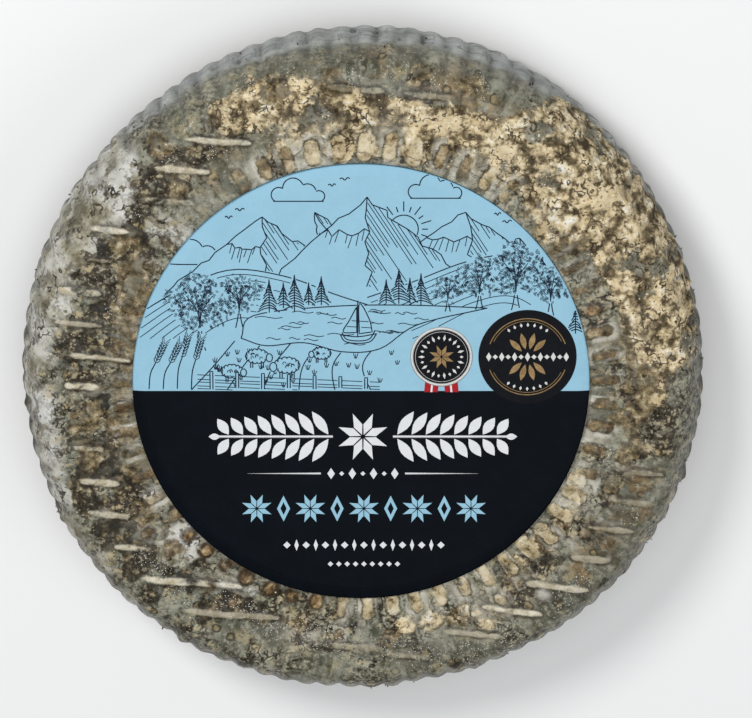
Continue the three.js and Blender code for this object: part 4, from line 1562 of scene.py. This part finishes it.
def draw_picture():
    """A lake between a meadow and mountains, with trees, sheep and a sailing boat."""
    pen, random = Pen(), Stream(5)
    for x in BARLEY:
        draw_barley(pen, x, FIELD_EDGE, 8.5 + 4 * random(), 1.2 + 1.5 * random())
    draw_fence(pen)
    for sheep in SHEEP:
        draw_sheep(pen, random, *sheep)
    draw_boat(pen, *BOAT)
    shore, far_shore = curved(SHORE), curved(FAR_SHORE)
    pen.draw(shore)
    draw_waves(pen, random, shore)
    for tree in LEAFY_TREES:
        draw_leafy_tree(pen, random, *tree)
    for spruce in SPRUCES:
        draw_spruce(pen, random, *spruce)
    pen.draw(far_shore)
    pen.cover(np.concatenate([shore, far_shore[::-1][1:]]))
    draw_meadow(pen, random, shore)
    for hill in HILLS:
        draw_hill(pen, random, hill)
    for mountain in MOUNTAINS:
        draw_mountain(pen, random, *mountain)
    draw_sun(pen, *SUN)
    for cloud in CLOUDS:
        draw_cloud(pen, *cloud)
    for x, y, size in BIRDS:
        wings = [(-1, 0.4), (-0.5, 0.7), (0, 0), (0.5, 0.8), (1, 0.5)]
        pen.draw(curved([(x + size * across, y + up) for across, up in wings], 3))
    return pen.strokes


# Label: solid shapes of ink


def kite(x, y, inner, outer, width, angle):
    """A four-sided petal of a star."""
    middle = inner + 0.42 * (outer - inner)
    corners = [(inner, 0), (middle, width / 2), (outer, 0), (middle, -width / 2)]
    cos, sin = math.cos(angle), math.sin(angle)
    return np.array([(x + a * cos - b * sin, y + a * sin + b * cos) for a, b in corners])


def star(x, y, outer, petals=8):
    width = 2 * 0.45 * outer * math.tan(math.pi / petals) * 0.92
    return [kite(x, y, 0.08 * outer, outer, width, 2 * math.pi * (i + 0.5) / petals) for i in range(petals)]


def lozenge(x, y, half_width, half_height):
    return np.array([(x - half_width, y), (x, y - half_height), (x + half_width, y), (x, y + half_height)])


def white_shapes():
    """A garland with a star in its middle, and three rows of small marks below."""
    x, y = GARLAND_MIDDLE
    fills, strokes = star(x, y, 8.4), []
    for side in (-1, 1):
        strokes.append((subdivide([(x + side * 9.6, y), (x + side * 49, y)], 2), 0.9))
        for i in range(8):
            foot = x + side * (10.5 + 4.55 * i)
            length = 9.4 - 0.42 * i
            for turn in (0.98, -0.98):
                angle = turn if side > 0 else math.pi - turn
                fills.append(leaf(foot + side * 0.5, y + math.copysign(0.7, turn), length, 3.3, angle, 5))
        fills.append(leaf(x + side * 45.5, y, 3.8, 2.2, 0 if side > 0 else math.pi, 4))
    for i in range(-8, 9):
        size = (0.7, 2.0) if i % 2 else (1.2, 1.2)
        fills.append(lozenge(ROWS_MIDDLE + 3.1 * i, TALL_MARK_LEVEL, *size))
    for i in range(-4, 5):
        fills.append(lozenge(ROWS_MIDDLE + 2.7 * i, SMALL_MARK_LEVEL, 0.9, 0.9))
    for side in (-1, 1):
        shares = np.linspace(0, 1, 14)
        rule = np.stack([x + side * (13.5 + 23.5 * shares), np.full(14, RULE_LEVEL)], 1)
        strokes.append((rule, 0.7 * (1 - shares) + 0.05))
    for i in range(-3, 4):
        size = (1.2, 1.9) if i % 2 else (0.8, 0.8)
        fills.append(lozenge(x + 3.4 * i, RULE_LEVEL, *size))
    return fills, strokes


def blue_shapes():
    """A row of stars and lozenges, as on knitted borders."""
    fills = []
    for i in range(-2, 3):
        fills += star(ROWS_MIDDLE + STAR_PITCH * i, STAR_LEVEL, 5.1)
    for i in (-1.5, -0.5, 0.5, 1.5):
        place = (ROWS_MIDDLE + STAR_PITCH * i, STAR_LEVEL)
        fills += [lozenge(*place, 2.1, 4.4), lozenge(*place, 1.0, 2.2)]
    return fills, []


def badge_shapes():
    """The badges' gold and white: rings, flowers and rows of small marks."""
    x, y, radius = LARGE_BADGE
    gold_fills, gold_strokes, white_fills, white_strokes = [], [], [], []
    for start in (0.35, 0.35 + math.pi):
        gold_strokes.append((ring(x, y, radius - 2.9, 36, start, start + 2.45), 0.4))
        gold_strokes.append((ring(x, y, radius - 3.7, 36, start + 0.1, start + 2.35), HAIR_PEN))
    for i in range(12):
        turn = 2 * math.pi * (i + 0.5) / 12
        if abs(math.sin(turn)) > 0.3:
            foot = (x + 2.6 * math.cos(turn), y + 2.6 * math.sin(turn))
            gold_fills.append(leaf(*foot, 5.6, 1.9, turn, 5))
    for i in range(-6, 7):
        tall = 1.5 if i % 2 == 0 else 0.8
        white_fills.append(lozenge(x + 2.05 * i, y, 0.85, tall))
    for side in (-1, 1):
        for i in range(-3, 4):
            turn = side * math.pi / 2 + 0.2 * i
            place = (x + (radius - 4.9) * math.cos(turn), y + (radius - 4.9) * math.sin(turn))
            white_fills.append(kite(*place, -0.7, 0.7, 0.9, turn))
    x, y, radius = SMALL_BADGE
    gold_fills += star(x, y, 4.1)
    white_strokes += [(ring(x, y, radius - 0.5, 70), 1.0), (ring(x, y, radius - 1.6, 60), 0.16)]
    for i in range(22):
        turn = 2 * math.pi * i / 22
        tall = 1.1 if i % 2 else 0.6
        place = (x + (radius - 3.5) * math.cos(turn), y + (radius - 3.5) * math.sin(turn))
        white_fills.append(kite(*place, -tall, tall, 0.9, turn))
    return (gold_fills, gold_strokes), (white_fills, white_strokes)


def ribbon_tails():
    """Two notched ribbon ends under the small badge, in outlines of red and of white."""
    x, y, radius = SMALL_BADGE
    red, white = [], []
    for side in (-1, 1):
        for tails, inner, outer in ((red, 0.9, 2.6), (white, 2.7, 3.2), (red, 3.3, 5.2)):
            near, far, high, low = x + side * inner, x + side * outer, y - radius + 0.6, y - radius - 1.9
            corners = [(near, high), (far, high + 1), (far + side * 0.3, low), (near + side * 0.2, low)]
            tails.append(np.array(corners))
    return red, white


def ink_part(name, lines, filled, level):
    """Outlines filled in, or lines of a width each, in millimetres, as one thin mesh on the label."""
    data = bpy.data.curves.new(name, "CURVE")
    part = bpy.data.objects.new(name, data)
    bpy.context.collection.objects.link(part)
    data.dimensions = "2D" if filled else "3D"
    data.fill_mode = "BOTH" if filled else "FULL"
    data.extrude = INK_THICKNESS if filled else 0
    data.bevel_depth = 0 if filled else 0.5
    data.bevel_resolution = 0
    data.use_fill_caps = True
    data.twist_mode = "Z_UP"
    for points, width in lines:
        closed = len(points) > 3 and np.allclose(points[0], points[-1], atol=1e-6)
        points = points[:-1] if closed else points
        spline = data.splines.new("POLY")
        spline.points.add(len(points) - 1)
        flat = np.zeros((len(points), 4), np.float32)
        flat[:, :2] = points
        flat[:, 3] = 1
        spline.points.foreach_set("co", flat.ravel())
        spline.use_cyclic_u = closed or filled
        if not filled:
            spline.points.foreach_set("radius", np.broadcast_to(np.float32(width), len(points)).copy())
    make_active(part)
    bpy.ops.object.convert(target="MESH")
    part = bpy.context.object
    part.scale = (MM, MM, MM) if filled else (MM, MM, LINE_FLATNESS * MM)
    part.location = (LABEL_CENTRE[0] * MM, LABEL_CENTRE[1] * MM, level * MM)
    settle(part)
    return part


def lay_ink(name, fills, strokes, level):
    """One colour of ink as thin solid shapes on the label."""
    parts = []
    if fills:
        parts.append(ink_part(name, [(outline, None) for outline in fills], True, level))
    if strokes:
        parts.append(ink_part(name, strokes, False, level))
    make_active(parts[0])
    for part in parts[1:]:
        part.select_set(True)
        bpy.ops.object.join()
    return newest(name)


# Label: the paper and its badges


def droop(piece):
    """The label's edge is pressed down over the ring of marks."""
    place = positions(piece) / MM
    radius = np.hypot(place[:, 0] - LABEL_CENTRE[0], place[:, 1] - LABEL_CENTRE[1])
    weights = smooth(DROOP_START, LABEL_RADIUS + 0.5, radius)
    group = piece.vertex_groups.new(name="droop")
    for index in np.flatnonzero(weights > 0.001):
        group.add((int(index),), float(weights[index]), "REPLACE")
    lower = piece.modifiers.new("droop", "DISPLACE")
    lower.vertex_group = "droop"
    lower.direction = "Z"
    lower.mid_level = 0.0
    lower.strength = -LABEL_DROOP * MM
    apply_all(piece)
    piece.vertex_groups.clear()


def make_label():
    """A thin disc, inset so that its edge can droop, with a narrow rim."""
    place = (LABEL_CENTRE[0] * MM, LABEL_CENTRE[1] * MM, (LABEL_TOP - LABEL_THICKNESS) * MM)
    outline = {"vertices": LABEL_SIDES, "radius": LABEL_RADIUS * MM, "fill_type": "NGON"}
    deselect_all()
    bpy.ops.mesh.primitive_circle_add(location=place, **outline)
    label = newest("label_paper")
    settle(label)
    bpy.ops.object.mode_set(mode="EDIT")
    bpy.ops.mesh.select_all(action="SELECT")
    bpy.ops.mesh.extrude_region_move(TRANSFORM_OT_translate={"value": (0, 0, LABEL_THICKNESS * MM)})
    bpy.ops.mesh.select_all(action="SELECT")
    bpy.ops.mesh.normals_make_consistent(inside=False)
    bpy.ops.mesh.select_all(action="DESELECT")
    bpy.ops.object.mode_set(mode="OBJECT")
    for polygon in label.data.polygons:
        polygon.select = abs(polygon.normal.z) > 0.9
    bpy.ops.object.mode_set(mode="EDIT")
    for width in (0.04, 0.5, 0.8, 1.0, 1.4):
        bpy.ops.mesh.inset(thickness=width * MM, use_individual=True)
    bpy.ops.object.mode_set(mode="OBJECT")
    droop(label)
    return label


def make_badges():
    """Two thin round stickers on the label."""
    discs = []
    for x, y, radius in (LARGE_BADGE, SMALL_BADGE):
        level = LABEL_TOP + BADGE_THICKNESS / 2
        centre = ((LABEL_CENTRE[0] + x) * MM, (LABEL_CENTRE[1] + y) * MM, level * MM)
        size = {"radius": radius * MM, "depth": BADGE_THICKNESS * MM}
        deselect_all()
        bpy.ops.mesh.primitive_cylinder_add(vertices=128, location=centre, **size)
        disc = newest("label_badges")
        edge = disc.modifiers.new("edge", "BEVEL")
        edge.width = 0.03 * MM
        edge.segments = 2
        apply_all(disc)
        settle(disc)
        discs.append(disc)
    discs[0].select_set(True)
    bpy.ops.object.join()
    return newest("label_badges")


def paper_material():
    """Coated paper printed in two flat fields."""
    paint = Paint("printed_paper")
    apart = paint.node("ShaderNodeSeparateXYZ")
    paint.link(paint.place, apart.inputs["Vector"])
    edge = (FIELD_EDGE + LABEL_CENTRE[1]) * MM
    upper = paint.span(apart.outputs["Y"], edge - 0.04 * MM, edge + 0.04 * MM)
    dark = paint.mottling(120.0, (9, 14, 20), (12, 18, 25))
    light = paint.mottling(120.0, (151, 196, 217), (156, 201, 222))
    paint.grain(2500.0, 0.02)
    return paint.surface(paint.mix(upper, dark, light), Roughness=0.5, Specular_IOR_Level=0.05)


def ink_material(name, colour, shade):
    """Printing ink, very slightly uneven."""
    paint = Paint(name)
    return paint.surface(paint.mottling(500.0, shade, colour), Roughness=0.5, Specular_IOR_Level=0.08)


def add_label():
    label = make_label()
    label.data.materials.append(paper_material())
    finish_piece(label, "label", "paper_label")
    badges = make_badges()
    badges.data.materials.append(ink_material("badge_black", (18, 20, 25), (13, 15, 20)))
    finish_piece(badges, "label")
    gold, white = badge_shapes()
    red_tails, white_tails = ribbon_tails()
    white_fills, white_strokes = white_shapes()
    prints = {
        "print_navy": ([], draw_picture(), LABEL_TOP),
        "print_white": (white_fills + white_tails, white_strokes, LABEL_TOP),
        "print_blue": (*blue_shapes(), LABEL_TOP),
        "ribbon_red": (red_tails, [], LABEL_TOP),
        "badge_gold": (*gold, LABEL_TOP + BADGE_THICKNESS),
        "badge_white": (*white, LABEL_TOP + BADGE_THICKNESS),
    }
    for name, shapes in prints.items():
        piece = lay_ink(name, *shapes)
        droop(piece)
        piece.data.materials.append(ink_material(name, *INKS[name]))
        finish_piece(piece, "label")


# Studio


def add_floor():
    deselect_all()
    bpy.ops.mesh.primitive_plane_add(size=6, location=(0, 0, 0))
    floor = newest("floor")
    paint = Paint("studio_floor")
    paint.finish.inputs["Base Color"].default_value = (0.86, 0.86, 0.86, 1)
    paint.finish.inputs["Roughness"].default_value = 0.9
    floor.data.materials.append(paint.material)


def add_light(name, place, size, power, colour=(1, 1, 1)):
    lamp = bpy.data.lights.new(name, "AREA")
    lamp.shape = "DISK"
    lamp.size = size
    lamp.energy = power
    lamp.color = colour
    holder = bpy.data.objects.new(name, lamp)
    holder.location = place
    holder.rotation_euler = (-Vector(place)).to_track_quat("-Z", "Y").to_euler()
    bpy.context.collection.objects.link(holder)


def add_studio():
    add_floor()
    add_light("key", (-0.5, 0.7, 1.1), 0.4, 9)
    add_light("fill", (0.8, -0.4, 1.0), 0.8, 3)
    add_light("sky", (0.0, 0.2, 1.6), 1.2, 10, (0.96, 0.98, 1.0))
    world = bpy.data.worlds.new("studio")
    world.use_nodes = True
    world.node_tree.nodes["Background"].inputs["Color"].default_value = (1, 1, 1, 1)
    world.node_tree.nodes["Background"].inputs["Strength"].default_value = 0.25
    bpy.context.scene.world = world
    bpy.context.scene.view_settings.view_transform = "Standard"


def add_camera():
    data = bpy.data.cameras.new("camera")
    data.sensor_width = SENSOR
    data.lens = SENSOR * VIEW_DISTANCE / VIEW_WIDTH
    camera = bpy.data.objects.new("camera", data)
    tilt, turn = math.radians(VIEW_TILT), math.radians(VIEW_TURN)
    back = Vector((math.sin(tilt) * math.cos(turn), math.sin(tilt) * math.sin(turn), math.cos(tilt)))
    right = Vector((0, 1, 0)).cross(back).normalized()
    up = back.cross(right)
    camera.rotation_mode = "QUATERNION"
    camera.rotation_quaternion = Matrix((right, up, back)).transposed().to_quaternion()
    camera.location = Vector(AIM) + back * VIEW_DISTANCE
    bpy.context.collection.objects.link(camera)
    bpy.context.scene.camera = camera


def finish_piece(piece, slot, *nodes):
    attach(piece, "root")
    if nodes:
        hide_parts(*nodes)


add_camera()
add_studio()
rind = make_rind()
rind.data.materials.append(rind_material())
finish_piece(rind, "rind", "cheese_wheel")
strew_rind(rind)
add_label()
